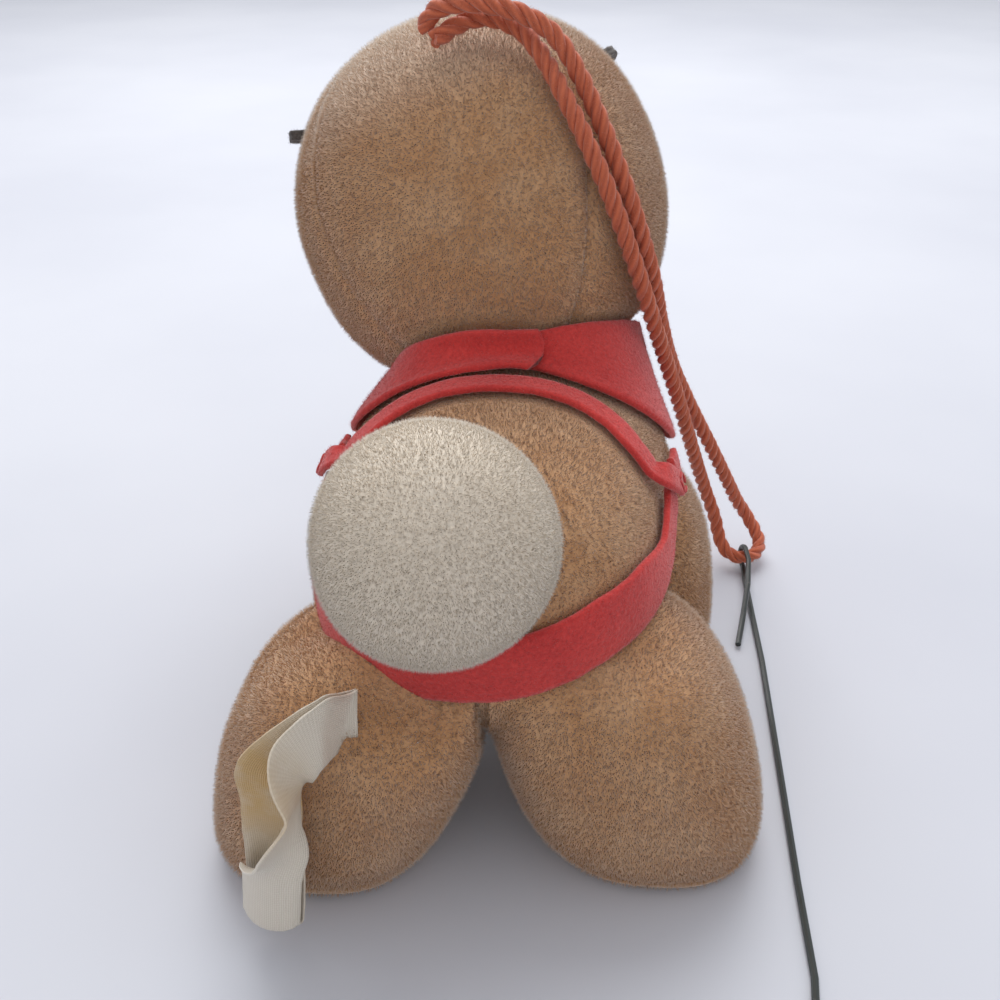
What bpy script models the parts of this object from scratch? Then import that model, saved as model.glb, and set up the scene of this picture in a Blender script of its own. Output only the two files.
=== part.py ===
"""Stuffed reindeer ornament: a plush head, body, four legs and ball tail, felt antlers and harness, a
sewn-in satin label, and a hanging cord with a wire hook. Metres, +Z up, the animal faces +Y."""

import math

import bmesh
import bpy
from mathutils import Matrix, Vector

MM = 0.001

# Driving dimensions: cloth, gaps and cord
GAP = 0.3 * MM
PLUSH = 1.4 * MM
FELT = 0.9 * MM
CORD_DIAMETER = 2.5 * MM
WIRE_DIAMETER = 1.0 * MM
LABEL_WIDTH = 8.0 * MM
LABEL_THICKNESS = 0.35 * MM

# Driving dimensions: head
HEAD_CENTRE = Vector((-6.3, 22.0, 70.3)) * MM
HEAD_RADII = Vector((28.2, 27.6, 28.9)) * MM
HEAD_FULLNESS = 2.12
HEAD_ROLL = math.radians(-20.0)
MUZZLE_RADII = Vector((12.5, 12.0, 10.5)) * MM
MUZZLE_CENTRE = Vector((0.0, 24.0, -6.0)) * MM
NOSE_RADII = Vector((5.0, 3.4, 3.8)) * MM
NOSE_LIFT = math.radians(24.0)
EYE_DIRECTION = Vector((0.42, 0.88, 0.13))
EYE_RADIUS = 2.7 * MM
EYE_HEIGHT = 1.9 * MM
EYE_STEM_RADIUS = 0.9 * MM
EYE_STEM_LENGTH = 4.8 * MM
WASHER_RADIUS = 3.2 * MM
WASHER_THICKNESS = 0.8 * MM
WASHER_DEPTH = 2.7 * MM

# Driving dimensions: ears and antlers, as places on the head and directions in its frame
EAR_ROOT = Vector((0.74, 0.66, 0.0))
EAR_RUN = Vector((0.20, 0.92, -0.34))
EAR_LENGTH = 15.0 * MM
EAR_WIDTH = 10.5 * MM
EAR_THICKNESS = 3.4 * MM
EAR_DISH = 1.1 * MM
EAR_LINING_THICKNESS = 0.9 * MM
ANTLER_ROOT = Vector((0.58, 0.70, 0.38))
ANTLER_RUN = {"left": Vector((0.65, -0.68, 0.46)), "right": Vector((0.25, 0.92, -0.30))}
ANTLER_THICKNESS = 1.6 * MM
SEAM_GAP = 0.7 * MM

# Driving dimensions: body
TORSO_CENTRE = Vector((0.0, -11.0, 35.0)) * MM
TORSO_RADII = Vector((24.5, 35.0, 21.6)) * MM
TORSO_FULLNESS = 2.5
TORSO_YAW = math.radians(-4.0)
BELLY_EDGE = Vector((0.0, -7.0, 35.0)) * MM
BELLY_SLOPE = math.radians(38.0)
NECK_OPENING_RADIUS = 8.0 * MM

# Driving dimensions: legs, with their centres on the right side
SOLE_THICKNESS = 1.3 * MM
LEG_FULLNESS = 2.5
HIND_CENTRE = Vector((18.6, -38.0, 16.0)) * MM
HIND_RADII = Vector((17.6, 17.0, 22.5)) * MM
HIND_LEAN = 0.3
HIND_STAGGER = {"left": -1.2 * MM, "right": 3.8 * MM}
FORE_CENTRE = Vector((21.3, 2.0, 17.0)) * MM
FORE_RADII = Vector((11.7, 12.3, 21.0)) * MM
FORE_LEAN = 0.12

# Driving dimensions: tail
TAIL_CENTRE = Vector((-4.9, -46.5, 54.6)) * MM
TAIL_RADIUS = 14.3 * MM
TAIL_ROOT_GAP = 0.6 * MM

# Driving dimensions: harness, the back strap's route from the middle to the right, the breeching's
# right round from the left flank, and the link's from the collar back to the flank
STRAP_WIDTH = 3.8 * MM
BREECHING_WIDTH = 8.6 * MM
BREECHING_ROOM = 14.0 * MM
COLLAR_TILTS = {"nape": (2.0, -21.0), "side": (15.0, -25.0), "throat": (24.0, 2.0)}
COLLAR_SKEW = 8.0
COLLAR_TUCK = 14.0
COLLAR_TUCK_ANGLE = math.radians(95.0)
COLLAR_LAP = math.radians(38.0)
COLLAR_END = math.radians(22.0)
NECK_CENTRE = Vector((0.5, 7.0, 51.0)) * MM
BACK_ROUTE = [
    (0, -12, 57), (8, -13.2, 57), (14, -16, 55.3), (18.5, -19.6, 52.3), (21.7, -21, 49.2), (24, -17.5, 46),
]
BREECHING_ROUTE = [
    (-24.9, -18.5, 45), (-24.8, -24.5, 41.5), (-23.8, -30.5, 37.5), (-20, -37.5, 35.4), (-12, -43.5, 35.2),
    (0, -46.5, 36), (9, -45, 38.2), (14, -42.5, 39.6), (19, -37.5, 40.3), (23, -29.5, 41.3),
    (23.8, -24, 44.2), (24, -18.5, 45.8),
]
LINK_ROUTE = [(25.8, -7.4, 44.7), (25.6, -10.2, 45), (24.8, -13.0, 45.6)]
STITCH_RADIUS = 1.5 * MM
STITCH_THREAD = 0.5 * MM

# Driving dimensions: label, as a route of its middle line and the way its width points there
LABEL_ROUTE = [
    (-14.3, -52.7, 34.2), (-17.3, -55.4, 33.8), (-19.7, -57.2, 32.6), (-22.9, -58.6, 28.8),
    (-23.9, -59.6, 22.7), (-24.2, -60, 14.5), (-25.1, -60.2, 5.6),
]
LABEL_ACROSS = [
    (0.0, -0.5, -0.87), (0.05, -0.3, -0.95), (0.35, 0.05, -0.93), (0.85, 0.2, -0.49),
    (0.97, -0.2, -0.04), (0.97, -0.25, 0.0), (0.97, -0.25, 0.07),
]
LABEL_SPREAD = 1.2 * MM

# Driving dimensions: cord and hook, as hand-laid routes in millimetres
CROWN_DIRECTION = Vector((3.85, -12.57, 25.95))
CROWN_HOLE_RADIUS = 2.4 * MM
KNOT_RADIUS = 3.0 * MM
KNOT_DEPTH = 5.2 * MM
CORD_ROUTE = [
    (-12.75, 9.8, 98.1), (-11.2, 9, 100.5), (-6.5, 7.4, 101.8), (-2.1, 6.8, 101.4), (1.8, 6.6, 100.1),
    (5.1, 6.5, 97.8), (9.4, 5.2, 91.4), (14.8, 2.6, 80.4), (19.2, 4.8, 68.1), (21.8, 10.9, 57),
    (24.6, 17.3, 47.2), (28.8, 22.8, 37), (33.8, 27.2, 26.5), (39, 32.2, 15.1), (40.8, 34, 11.1),
    (43.3, 34.7, 7.1), (45.3, 33, 4.3), (45.8, 30.9, 3.1), (44.5, 28.1, 2.6), (42.6, 27, 2.65),
    (40.7, 27, 2.8), (38.9, 27.8, 3.7), (37.8, 29.1, 5.4), (36.8, 30.4, 8.6), (33.8, 29.9, 16.4),
    (30.2, 24.4, 27.6), (26.8, 18.4, 38.9), (23.4, 12.3, 49.6), (20.4, 5.9, 59.2), (17.5, 2, 68),
    (12.6, 0.4, 80.2), (6.7, 3.1, 90.8), (2.5, 7.5, 96.3), (-0.4, 9.4, 98.6), (-4.4, 10.3, 99.6),
    (-7.4, 9.9, 99.1), (-11.15, 7.4, 97.2),
]
HOOK_EYE = Vector((42.6, 27.0, 2.65)) * MM
HOOK_BACK = Vector((-0.246, 0.969, 0.0))
HOOK_BEND_RADIUS = CORD_DIAMETER / 2 + GAP + WIRE_DIAMETER / 2
HOOK_STEM = [
    (42.6, 20.9), (42.8, 11.9), (43.1, -0.1), (42.9, -26.3), (42.7, -45.4), (42.8, -59.4), (42.2, -64.5),
]
HOOK_LEG = [(42.9, 23.9, 4.3), (42.3, 17.9, 3.2), (40.9, 10.7, 1.8), (39.4, 3.5, 0.75)]
CROOK_RADIUS = 6.0 * MM
WIRE_REST = 0.6 * MM

# Edge of the blocks that cut a piece off at a plane, and how far a drilling starts outside the plush
BIG_BLOCK = 200.0 * MM
DRILL_START = 3.0 * MM

PART_NAME = "stuffed_reindeer_ornament"
SIDES = (("left", -1), ("right", 1))

# Colours, roughness and metallic value of each material
TAN = ((0.46, 0.29, 0.16), 0.95, 0.0)
CREAM = ((0.74, 0.71, 0.62), 0.95, 0.0)
STUFFING = ((0.85, 0.84, 0.80), 1.0, 0.0)
RED_FELT = ((0.62, 0.045, 0.04), 0.95, 0.0)
DARK_FELT = ((0.10, 0.085, 0.075), 0.95, 0.0)
DARK_NOSE = ((0.045, 0.03, 0.025), 0.9, 0.0)
BLACK_PLASTIC = ((0.012, 0.012, 0.014), 0.2, 0.0)
WHITE_PLASTIC = ((0.8, 0.8, 0.78), 0.5, 0.0)
SATIN = ((0.80, 0.76, 0.62), 0.45, 0.0)
ORANGE_CORD = ((0.58, 0.11, 0.035), 0.85, 0.0)
RED_THREAD = ((0.55, 0.05, 0.045), 0.7, 0.0)
DARK_WIRE = ((0.02, 0.025, 0.022), 0.35, 0.6)


def clear_scene():
    for thing in list(bpy.data.objects):
        bpy.data.objects.remove(thing, do_unlink=True)


def new_collection(name):
    collection = bpy.data.collections.new(name)
    bpy.context.scene.collection.children.link(collection)
    return collection


def material(name, finish):
    colour, roughness, metallic = finish
    made = bpy.data.materials.new(name)
    made.use_nodes = True
    shader = made.node_tree.nodes["Principled BSDF"]
    shader.inputs["Base Color"].default_value = (*colour, 1.0)
    shader.inputs["Roughness"].default_value = roughness
    shader.inputs["Metallic"].default_value = metallic
    made.diffuse_color = (*colour, 1.0)
    return made


def add_piece(name, data, finish, frame=None):
    """Puts a mesh or curve in the part's collection, as a named piece with its own material."""
    piece = bpy.data.objects.new(name, data)
    if frame is not None:
        piece.matrix_world = frame
    data.materials.append(material(name, finish))
    PART.objects.link(piece)
    return piece


def add_cutter(name, data, frame=None):
    cutter = bpy.data.objects.new(name, data)
    if frame is not None:
        cutter.matrix_world = frame
    cutter.hide_render = True
    cutter.display_type = "WIRE"
    CUTTERS.objects.link(cutter)
    return cutter


def cut(piece, *cutters):
    for cutter in cutters:
        modifier = piece.modifiers.new("cut " + cutter.name, "BOOLEAN")
        modifier.operation = "DIFFERENCE"
        modifier.object = cutter


def joint_empty(name, place):
    """An empty on a joint's axis, which carries the pieces that turn about it."""
    empty = bpy.data.objects.new(name, None)
    empty.empty_display_size = 5 * MM
    empty.location = place
    PART.objects.link(empty)
    return empty


def hang_on(empty, *pieces):
    for piece in pieces:
        piece.parent = empty
        piece.matrix_parent_inverse = Matrix.Translation(-empty.location)


def mirrored(point, side):
    return Vector((point[0] * side, point[1], point[2]))


class Form:
    """A stuffed body: an ellipsoid made fuller by its power, in a frame of its own. Its lean is the
    share of its height by which it shifts to -X on the way up."""

    def __init__(self, centre, radii, power=2.0, turn=None, lean=0.0):
        turned_frame = turn.to_4x4() if turn else Matrix.Identity(4)
        self.place = Matrix.Translation(centre) @ turned_frame
        self.shear = Matrix(((1, 0, -lean), (0, 1, 0), (0, 0, 1)))
        self.frame = self.place @ self.shear.to_4x4()
        self.inverse = self.frame.inverted()
        self.radii = Vector(radii)
        self.power = power
        self.lean = lean

    def level(self, point):
        """Under 1 inside the form, 1 on its surface."""
        local = self.inverse @ Vector(point)
        return sum(abs(c / r) ** self.power for c, r in zip(local, self.radii))

    def normal(self, point):
        local = self.inverse @ Vector(point)
        slope = [math.copysign(abs(c / r) ** (self.power - 1) / r, c) for c, r in zip(local, self.radii)]
        return (self.inverse.to_3x3().transposed() @ Vector(slope)).normalized()

    def local_surface(self, direction):
        level = sum(abs(c / r) ** self.power for c, r in zip(direction, self.radii))
        return Vector(direction) * level ** (-1.0 / self.power)

    def surface(self, direction, out=0.0):
        """The surface point in a direction of the form's own frame, moved out along its normal."""
        point = self.frame @ self.local_surface(direction)
        return point + self.normal(point) * out

    def toward(self, point, out=0.0):
        return self.surface(self.inverse @ Vector(point), out)

    def grown(self, out):
        """The same form with its surface moved out, or in where out is negative."""
        centre = self.place.translation
        radii = self.radii + Vector((out, out, out))
        return Form(centre, radii, self.power, self.place.to_3x3(), self.lean)


def form_mesh(name, form, segments, rings, poles="Z"):
    """A sphere primitive pushed onto a form's surface."""
    bm = bmesh.new()
    bmesh.ops.create_uvsphere(bm, u_segments=segments, v_segments=rings, radius=1.0)
    if poles == "Y":
        bmesh.ops.rotate(bm, verts=bm.verts, matrix=Matrix.Rotation(math.pi / 2, 3, "X"))
    for vertex in bm.verts:
        vertex.co = form.shear @ form.local_surface(vertex.co)
    mesh = bpy.data.meshes.new(name)
    bm.to_mesh(mesh)
    bm.free()
    mesh.shade_smooth()
    return mesh


def form_piece(name, form, segments, rings, finish, poles="Z"):
    return add_piece(name, form_mesh(name, form, segments, rings, poles), finish, form.place)


def form_cutter(name, form, segments, rings, poles="Z"):
    return add_cutter(name, form_mesh(name, form, segments, rings, poles), form.place)


def box_cutter(name, size, frame):
    """A big block whose top face lies on the frame's own XY plane."""
    bm = bmesh.new()
    bmesh.ops.create_cube(bm, size=size)
    bmesh.ops.translate(bm, verts=bm.verts, vec=(0, 0, -size / 2))
    mesh = bpy.data.meshes.new(name)
    bm.to_mesh(mesh)
    bm.free()
    return add_cutter(name, mesh, frame)


def rod_cutter(name, radius, start, end, sides=20):
    """A round cutter between two points."""
    bm = bmesh.new()
    length = (end - start).length
    bmesh.ops.create_cone(bm, segments=sides, radius1=radius, radius2=radius, depth=length, cap_ends=True)
    mesh = bpy.data.meshes.new(name)
    bm.to_mesh(mesh)
    bm.free()
    turn = (end - start).to_track_quat("Z", "Y").to_matrix().to_4x4()
    return add_cutter(name, mesh, Matrix.Translation((start + end) / 2) @ turn)


def turned_mesh(name, profile, closed=False):
    """A profile in the XZ plane, for a Screw modifier about Z."""
    mesh = bpy.data.meshes.new(name)
    edges = [(i, i + 1) for i in range(len(profile) - 1)]
    if closed:
        edges.append((len(profile) - 1, 0))
    mesh.from_pydata([(x, 0.0, z) for x, z in profile], edges, [])
    return mesh


def turned_piece(name, profile, steps, finish, frame, closed=False):
    piece = add_piece(name, turned_mesh(name, profile, closed), finish, frame)
    screw = piece.modifiers.new("turn", "SCREW")
    screw.steps = steps
    screw.render_steps = steps
    screw.use_merge_vertices = True
    screw.merge_threshold = 0.00001
    return piece


def smooth_route(points, samples):
    """Points along a centripetal Catmull-Rom curve through the route's own points."""
    route = [Vector(p) for p in points]
    ends = [route[0] * 2 - route[1]] + route + [route[-1] * 2 - route[-2]]
    smooth = []
    for a, b, c, d in zip(ends, ends[1:], ends[2:], ends[3:]):
        t1 = (b - a).length ** 0.5
        t2 = t1 + (c - b).length ** 0.5
        t3 = t2 + (d - c).length ** 0.5
        for step in range(samples):
            t = t1 + (t2 - t1) * step / samples
            ab = a * ((t1 - t) / t1) + b * (t / t1)
            bc = b * ((t2 - t) / (t2 - t1)) + c * ((t - t1) / (t2 - t1))
            cd = c * ((t3 - t) / (t3 - t2)) + d * ((t - t2) / (t3 - t2))
            abc = ab * ((t2 - t) / t2) + bc * (t / t2)
            bcd = bc * ((t3 - t) / (t3 - t1)) + cd * ((t - t1) / (t3 - t1))
            smooth.append(abc * ((t2 - t) / (t2 - t1)) + bcd * ((t - t1) / (t2 - t1)))
    smooth.append(route[-1])
    return smooth


def tube(name, points, diameter, finish):
    """A round tube along a poly line, with filled ends."""
    curve = bpy.data.curves.new(name, "CURVE")
    curve.dimensions = "3D"
    curve.bevel_depth = diameter / 2
    curve.bevel_resolution = 2
    curve.use_fill_caps = True
    spline = curve.splines.new("POLY")
    spline.points.add(len(points) - 1)
    for target, point in zip(spline.points, points):
        target.co = (*point, 1.0)
    return add_piece(name, curve, finish)


def flat_outline(name, outline, thickness, finish, frame):
    """A flat piece cut to a closed outline, its thickness halved by the frame's XY plane."""
    mesh = bpy.data.meshes.new(name)
    mesh.from_pydata([(x, y, 0.0) for x, y in outline], [], [tuple(range(len(outline)))])
    piece = add_piece(name, mesh, finish, frame)
    thicken(piece, thickness, 0.0)
    return piece


def grid_mesh(name, rows, outward):
    """A grid primitive moved onto rows of points, its faces pointing outward."""
    bm = bmesh.new()
    columns = len(rows[0])
    bmesh.ops.create_grid(bm, x_segments=columns - 1, y_segments=len(rows) - 1, size=1.0)
    bm.verts.ensure_lookup_table()
    order = sorted(bm.verts, key=lambda v: (round(v.co.y, 5), round(v.co.x, 5)))
    for vertex, point in zip(order, [point for row in rows for point in row]):
        vertex.co = point
    bm.normal_update()
    middle = bm.faces[:][len(bm.faces) // 2]
    if middle.normal.dot(outward(middle.calc_center_median())) < 0:
        bmesh.ops.reverse_faces(bm, faces=bm.faces)
    mesh = bpy.data.meshes.new(name)
    bm.to_mesh(mesh)
    bm.free()
    mesh.shade_smooth()
    return mesh


def thicken(piece, thickness, offset=1.0):
    solidify = piece.modifiers.new("thickness", "SOLIDIFY")
    solidify.thickness = thickness
    solidify.offset = offset
    return solidify


def torso_strip(route, half_width, height, samples=3):
    """Rows of points for a strip that lies on the torso. half_width and height are functions of the
    share of the strip's length, and height is the strip's underside above the plush."""
    line = smooth_route([Vector(p) * MM for p in route], samples)
    rows = []
    for i, point in enumerate(line):
        share = i / (len(line) - 1)
        out = height(share)
        base = TORSO.toward(point, out)
        along = line[min(i + 1, len(line) - 1)] - line[max(i - 1, 0)]
        across = TORSO.normal(base).cross(along).normalized() * half_width(share)
        rows.append([TORSO.toward(base + across * s, out) for s in (-1.0, 0.0, 1.0)])
    return rows


def both_sides(route):
    """A route from the middle outwards, continued through its mirror image on the other side."""
    return [(-x, y, z) for x, y, z in reversed(route[1:])] + list(route)


def ease(value, low, high):
    """0 below low, 1 above high, smooth between them."""
    t = min(max((value - low) / (high - low), 0.0), 1.0)
    return t * t * (3 - 2 * t)


PART = new_collection(PART_NAME)
CUTTERS = new_collection("cutters")
clear_scene()

HEAD_TURN = Matrix.Rotation(HEAD_ROLL, 3, "Y")
HEAD = Form(HEAD_CENTRE, HEAD_RADII, HEAD_FULLNESS, HEAD_TURN)
TORSO = Form(TORSO_CENTRE, TORSO_RADII, TORSO_FULLNESS, Matrix.Rotation(TORSO_YAW, 3, "Z"))
NECK_AXIS = (HEAD_CENTRE - TORSO_CENTRE).normalized()
CROWN = HEAD.surface(CROWN_DIRECTION)
CROWN_NORMAL = HEAD.normal(CROWN)
TORSO_CLEAR = form_cutter("torso_clearance", TORSO.grown(GAP), 28, 16, "Y")
HEAD_CLEAR = form_cutter("head_clearance", HEAD.grown(GAP), 28, 16)
SEAM_CLEAR = form_cutter("seam_clearance", HEAD.grown(SEAM_GAP), 28, 16)


def frame_at(place, forward, up_hint):
    """A frame whose Z points forward and whose Y leans to the hint."""
    z = forward.normalized()
    x = up_hint.cross(z).normalized()
    y = z.cross(x)
    turn = Matrix((x, y, z)).transposed().to_4x4()
    return Matrix.Translation(place) @ turn


def make_head():
    """The plush ball of the head, open at the neck, with holes for the eye stems and the cord."""
    skin = form_piece("head_skin", HEAD, 24, 14, TAN)
    stuffing = form_piece("head_stuffing", HEAD.grown(-PLUSH - GAP), 14, 9, STUFFING)
    cut(skin, form_cutter("head_void", HEAD.grown(-PLUSH), 14, 9), TORSO_CLEAR)
    cut(stuffing, TORSO_CLEAR)
    above = CROWN + CROWN_NORMAL * DRILL_START
    cut(skin, rod_cutter("crown_hole", CROWN_HOLE_RADIUS, above, CROWN - CROWN_NORMAL * 2 * PLUSH, 12))
    pocket = Form(CROWN - CROWN_NORMAL * KNOT_DEPTH, Vector((1, 1, 1)) * (KNOT_RADIUS + GAP))
    mouth = rod_cutter("knot_mouth", KNOT_RADIUS + GAP, above, CROWN - CROWN_NORMAL * KNOT_DEPTH, 12)
    cut(stuffing, form_cutter("knot_pocket", pocket, 12, 8), mouth)
    for side_name, side in SIDES:
        make_eye(side_name, side, skin, stuffing)


def make_eye(side_name, side, skin, stuffing):
    """A moulded eye with its stem through the plush, locked by a washer on the inside."""
    seat = HEAD.surface(mirrored(EYE_DIRECTION, side))
    out = HEAD.normal(seat)
    frame = frame_at(seat, out, Vector((0, 0, 1)))
    dome = [(EYE_RADIUS * math.cos(a), GAP + EYE_HEIGHT * math.sin(a)) for a in
            (math.radians(d) for d in (90, 66, 40, 15, 0))]
    dome[0] = (0.0, GAP + EYE_HEIGHT)
    profile = dome + [(EYE_STEM_RADIUS, GAP), (EYE_STEM_RADIUS, -EYE_STEM_LENGTH), (0.0, -EYE_STEM_LENGTH)]
    turned_piece("eye_" + side_name, profile, 12, BLACK_PLASTIC, frame)
    bottom = -WASHER_DEPTH - WASHER_THICKNESS
    bore = EYE_STEM_RADIUS + GAP
    ring = [(bore, -WASHER_DEPTH), (WASHER_RADIUS, -WASHER_DEPTH), (WASHER_RADIUS, bottom), (bore, bottom)]
    turned_piece("eye_washer_" + side_name, ring, 10, WHITE_PLASTIC, frame, closed=True)
    outside = seat + out * DRILL_START
    inside = seat - out * 2 * PLUSH
    cut(skin, rod_cutter("eye_hole_" + side_name, EYE_STEM_RADIUS + GAP, outside, inside, 12))
    pocket_end = seat - out * (EYE_STEM_LENGTH + 2 * GAP)
    cut(stuffing, rod_cutter("eye_pocket_" + side_name, WASHER_RADIUS + 2 * GAP, outside, pocket_end, 12))


def make_muzzle():
    """The short muzzle, sewn to the front of the head, with a dark plush nose."""
    centre = HEAD.frame @ MUZZLE_CENTRE
    muzzle = Form(centre, MUZZLE_RADII, 2.1, HEAD_TURN)
    skin = form_piece("muzzle_skin", muzzle, 20, 12, CREAM, "Y")
    cut(skin, form_cutter("muzzle_void", muzzle.grown(-PLUSH), 14, 8, "Y"), HEAD_CLEAR)
    stuffing = form_piece("muzzle_stuffing", muzzle.grown(-PLUSH - GAP), 14, 8, STUFFING, "Y")
    cut(stuffing, HEAD_CLEAR)
    nose_direction = Vector((0.0, math.cos(NOSE_LIFT), math.sin(NOSE_LIFT)))
    nose_place = muzzle.surface(nose_direction, NOSE_RADII.y * 0.45)
    nose = form_piece("nose", Form(nose_place, NOSE_RADII, 2.0, HEAD_TURN), 14, 8, DARK_NOSE, "Y")
    cut(nose, form_cutter("muzzle_clearance", muzzle.grown(GAP), 20, 12, "Y"))


def make_ear(side_name, side):
    """A leaf-shaped plush ear that bends forward at its seam, with a pale lining in its dish."""
    root = HEAD.surface(mirrored(EAR_ROOT, side), SEAM_GAP)
    turn = HEAD.frame.to_3x3()
    run = (turn @ mirrored(EAR_RUN, side)).normalized()
    face = (turn @ Vector((side * 0.35, 0.3, 0.9))).cross(run).normalized() * side
    across = run.cross(face)
    ear_turn = Matrix((across, face, run)).transposed()
    centre = root + run * (EAR_LENGTH / 2)
    leaf = Form(centre, Vector((EAR_WIDTH, EAR_THICKNESS, EAR_LENGTH)) / 2, 2.0, ear_turn)
    ear = form_piece("ear_" + side_name, leaf, 14, 8, TAN)
    dish_radius = (EAR_LENGTH / 2) ** 2 / (2 * EAR_DISH)
    dish_centre = centre + face * (dish_radius + EAR_THICKNESS / 2 - EAR_DISH)
    dish = Form(dish_centre, Vector((1, 1, 1)) * dish_radius, 2.0, ear_turn)
    cut(ear, form_cutter("ear_dish_" + side_name, dish, 28, 18, "Y"), SEAM_CLEAR)
    lining_place = centre + face * (EAR_THICKNESS / 2 - EAR_DISH + GAP + EAR_LINING_THICKNESS / 2)
    lining_radii = Vector((EAR_WIDTH * 0.34, EAR_LINING_THICKNESS / 2, EAR_LENGTH * 0.36))
    pad = Form(lining_place, lining_radii, 2.0, ear_turn)
    lining = form_piece("ear_lining_" + side_name, pad, 10, 6, CREAM)
    hang_on(joint_empty("ear_joint_" + side_name, root), ear, lining)


ANTLER_OUTLINE = [
    (-3, -3.0), (4, -2.6), (8, -2.9), (12.4, -4.6), (14.4, -3.2), (12.4, -1.0), (16.0, 0.8), (15.2, 2.8),
    (11.0, 2.0), (9.2, 2.6), (10.4, 6.2), (8.6, 7.2), (6.0, 3.2), (3.4, 2.6), (-3, 3.0),
]


def make_antler(side_name, side):
    """A flat antler of dark felt with three blunt tines, held in a seam of the head."""
    root = HEAD.surface(mirrored(ANTLER_ROOT, side), SEAM_GAP)
    turn = HEAD.frame.to_3x3()
    run = (turn @ mirrored(ANTLER_RUN[side_name], side)).normalized()
    face = run.cross(turn @ Vector((0.0, 0.9, -0.45))).normalized()
    rise = face.cross(run)
    frame = Matrix.Translation(root) @ Matrix((run, rise, face)).transposed().to_4x4()
    rounded = smooth_route([Vector((x, y, 0)) * MM for x, y in ANTLER_OUTLINE], 2)
    outline = [(p.x, p.y) for p in rounded]
    antler = flat_outline("antler_" + side_name, outline, ANTLER_THICKNESS, DARK_FELT, frame)
    cut(antler, SEAM_CLEAR)
    hang_on(joint_empty("antler_joint_" + side_name, root), antler)


def make_torso():
    """The body: a tan back, a white chest and belly panel, and the stuffing in both."""
    void = form_cutter("torso_void", TORSO.grown(-PLUSH), 16, 10, "Y")
    slope = Matrix.Rotation(BELLY_SLOPE, 4, "X")
    below = box_cutter("below_belly_seam", BIG_BLOCK, Matrix.Translation(BELLY_EDGE) @ slope)
    flip = Matrix.Rotation(math.pi, 4, "Y")
    above_place = BELLY_EDGE + slope.to_3x3() @ Vector((0, 0, -GAP))
    above = box_cutter("above_belly_seam", BIG_BLOCK, Matrix.Translation(above_place) @ slope @ flip)
    neck = rod_cutter("neck_opening", NECK_OPENING_RADIUS, TORSO_CENTRE, HEAD_CENTRE, 16)
    back = form_piece("back_skin", TORSO, 28, 16, TAN, "Y")
    cut(back, void, below, neck)
    belly = form_piece("belly_panel", TORSO, 28, 16, CREAM, "Y")
    cut(belly, void, above)
    form_piece("torso_stuffing", TORSO.grown(-PLUSH - GAP), 16, 10, STUFFING, "Y")


def section_outline(form, height, count):
    """The outline of an upright form's level section, as offsets from the section's centre."""
    centre = form.place.translation
    share = 1.0 - abs((height - centre.z) / form.radii.z) ** form.power
    outline = []
    for i in range(count):
        angle = 2 * math.pi * i / count
        c = math.cos(angle)
        s = math.sin(angle)
        level = abs(c / form.radii.x) ** form.power + abs(s / form.radii.y) ** form.power
        reach = (share / level) ** (1.0 / form.power)
        outline.append((reach * c, reach * s))
    return outline


def make_leg(kind, side_name, leg):
    """A stub leg: a plush cup seated on the body, its stuffing, and a flat sole that closes it.
    Returns the cup, the cutter that hollows it, and the stuffing."""
    centre = leg.place.translation
    sole_top = SOLE_THICKNESS + GAP
    ground_place = Matrix.Translation((centre.x, centre.y, sole_top))
    ground = box_cutter(kind + "_ground_" + side_name, BIG_BLOCK, ground_place)
    skin = form_piece(kind + "_leg_" + side_name, leg, 18, 12, TAN)
    void = form_cutter(kind + "_void_" + side_name, leg.grown(-PLUSH), 12, 8)
    cut(skin, void, TORSO_CLEAR, ground)
    stuffing = form_piece(kind + "_stuffing_" + side_name, leg.grown(-PLUSH - GAP), 12, 8, STUFFING)
    cut(stuffing, TORSO_CLEAR, ground)
    shift = leg.lean * (centre.z - sole_top)
    place = Matrix.Translation((centre.x + shift, centre.y, SOLE_THICKNESS / 2))
    outline = section_outline(leg, sole_top, 18)
    flat_outline(kind + "_sole_" + side_name, outline, SOLE_THICKNESS, TAN, place)
    return skin, void, stuffing


def make_legs():
    """The four legs. The hind ones lean out downwards, meet each other in the middle plane, and are
    dented where the breeching strap lies over them."""
    strap_room = breeching_room("breeching_room", 2 * GAP)
    dent_wall = breeching_room("breeching_dent_wall", 2 * GAP + PLUSH)
    dent_back = breeching_room("breeching_dent_back", 3 * GAP + PLUSH)
    for side_name, side in SIDES:
        fore = Form(mirrored(FORE_CENTRE, side), FORE_RADII, LEG_FULLNESS, None, FORE_LEAN * side)
        make_leg("fore", side_name, fore)
        hind_centre = mirrored(HIND_CENTRE, side) + Vector((0, HIND_STAGGER[side_name], 0))
        hind = Form(hind_centre, HIND_RADII, LEG_FULLNESS, None, HIND_LEAN * side)
        near_middle = Vector((side * GAP / 2, hind_centre.y, 0))
        middle = frame_at(near_middle, Vector((side, 0, 0)), Vector((0, 0, 1)))
        middle_plane = box_cutter("middle_plane_" + side_name, BIG_BLOCK, middle)
        skin, void, stuffing = make_leg("hind", side_name, hind)
        cut(void, dent_wall)
        cut(skin, strap_room, middle_plane)
        cut(stuffing, dent_back, middle_plane)


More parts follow.
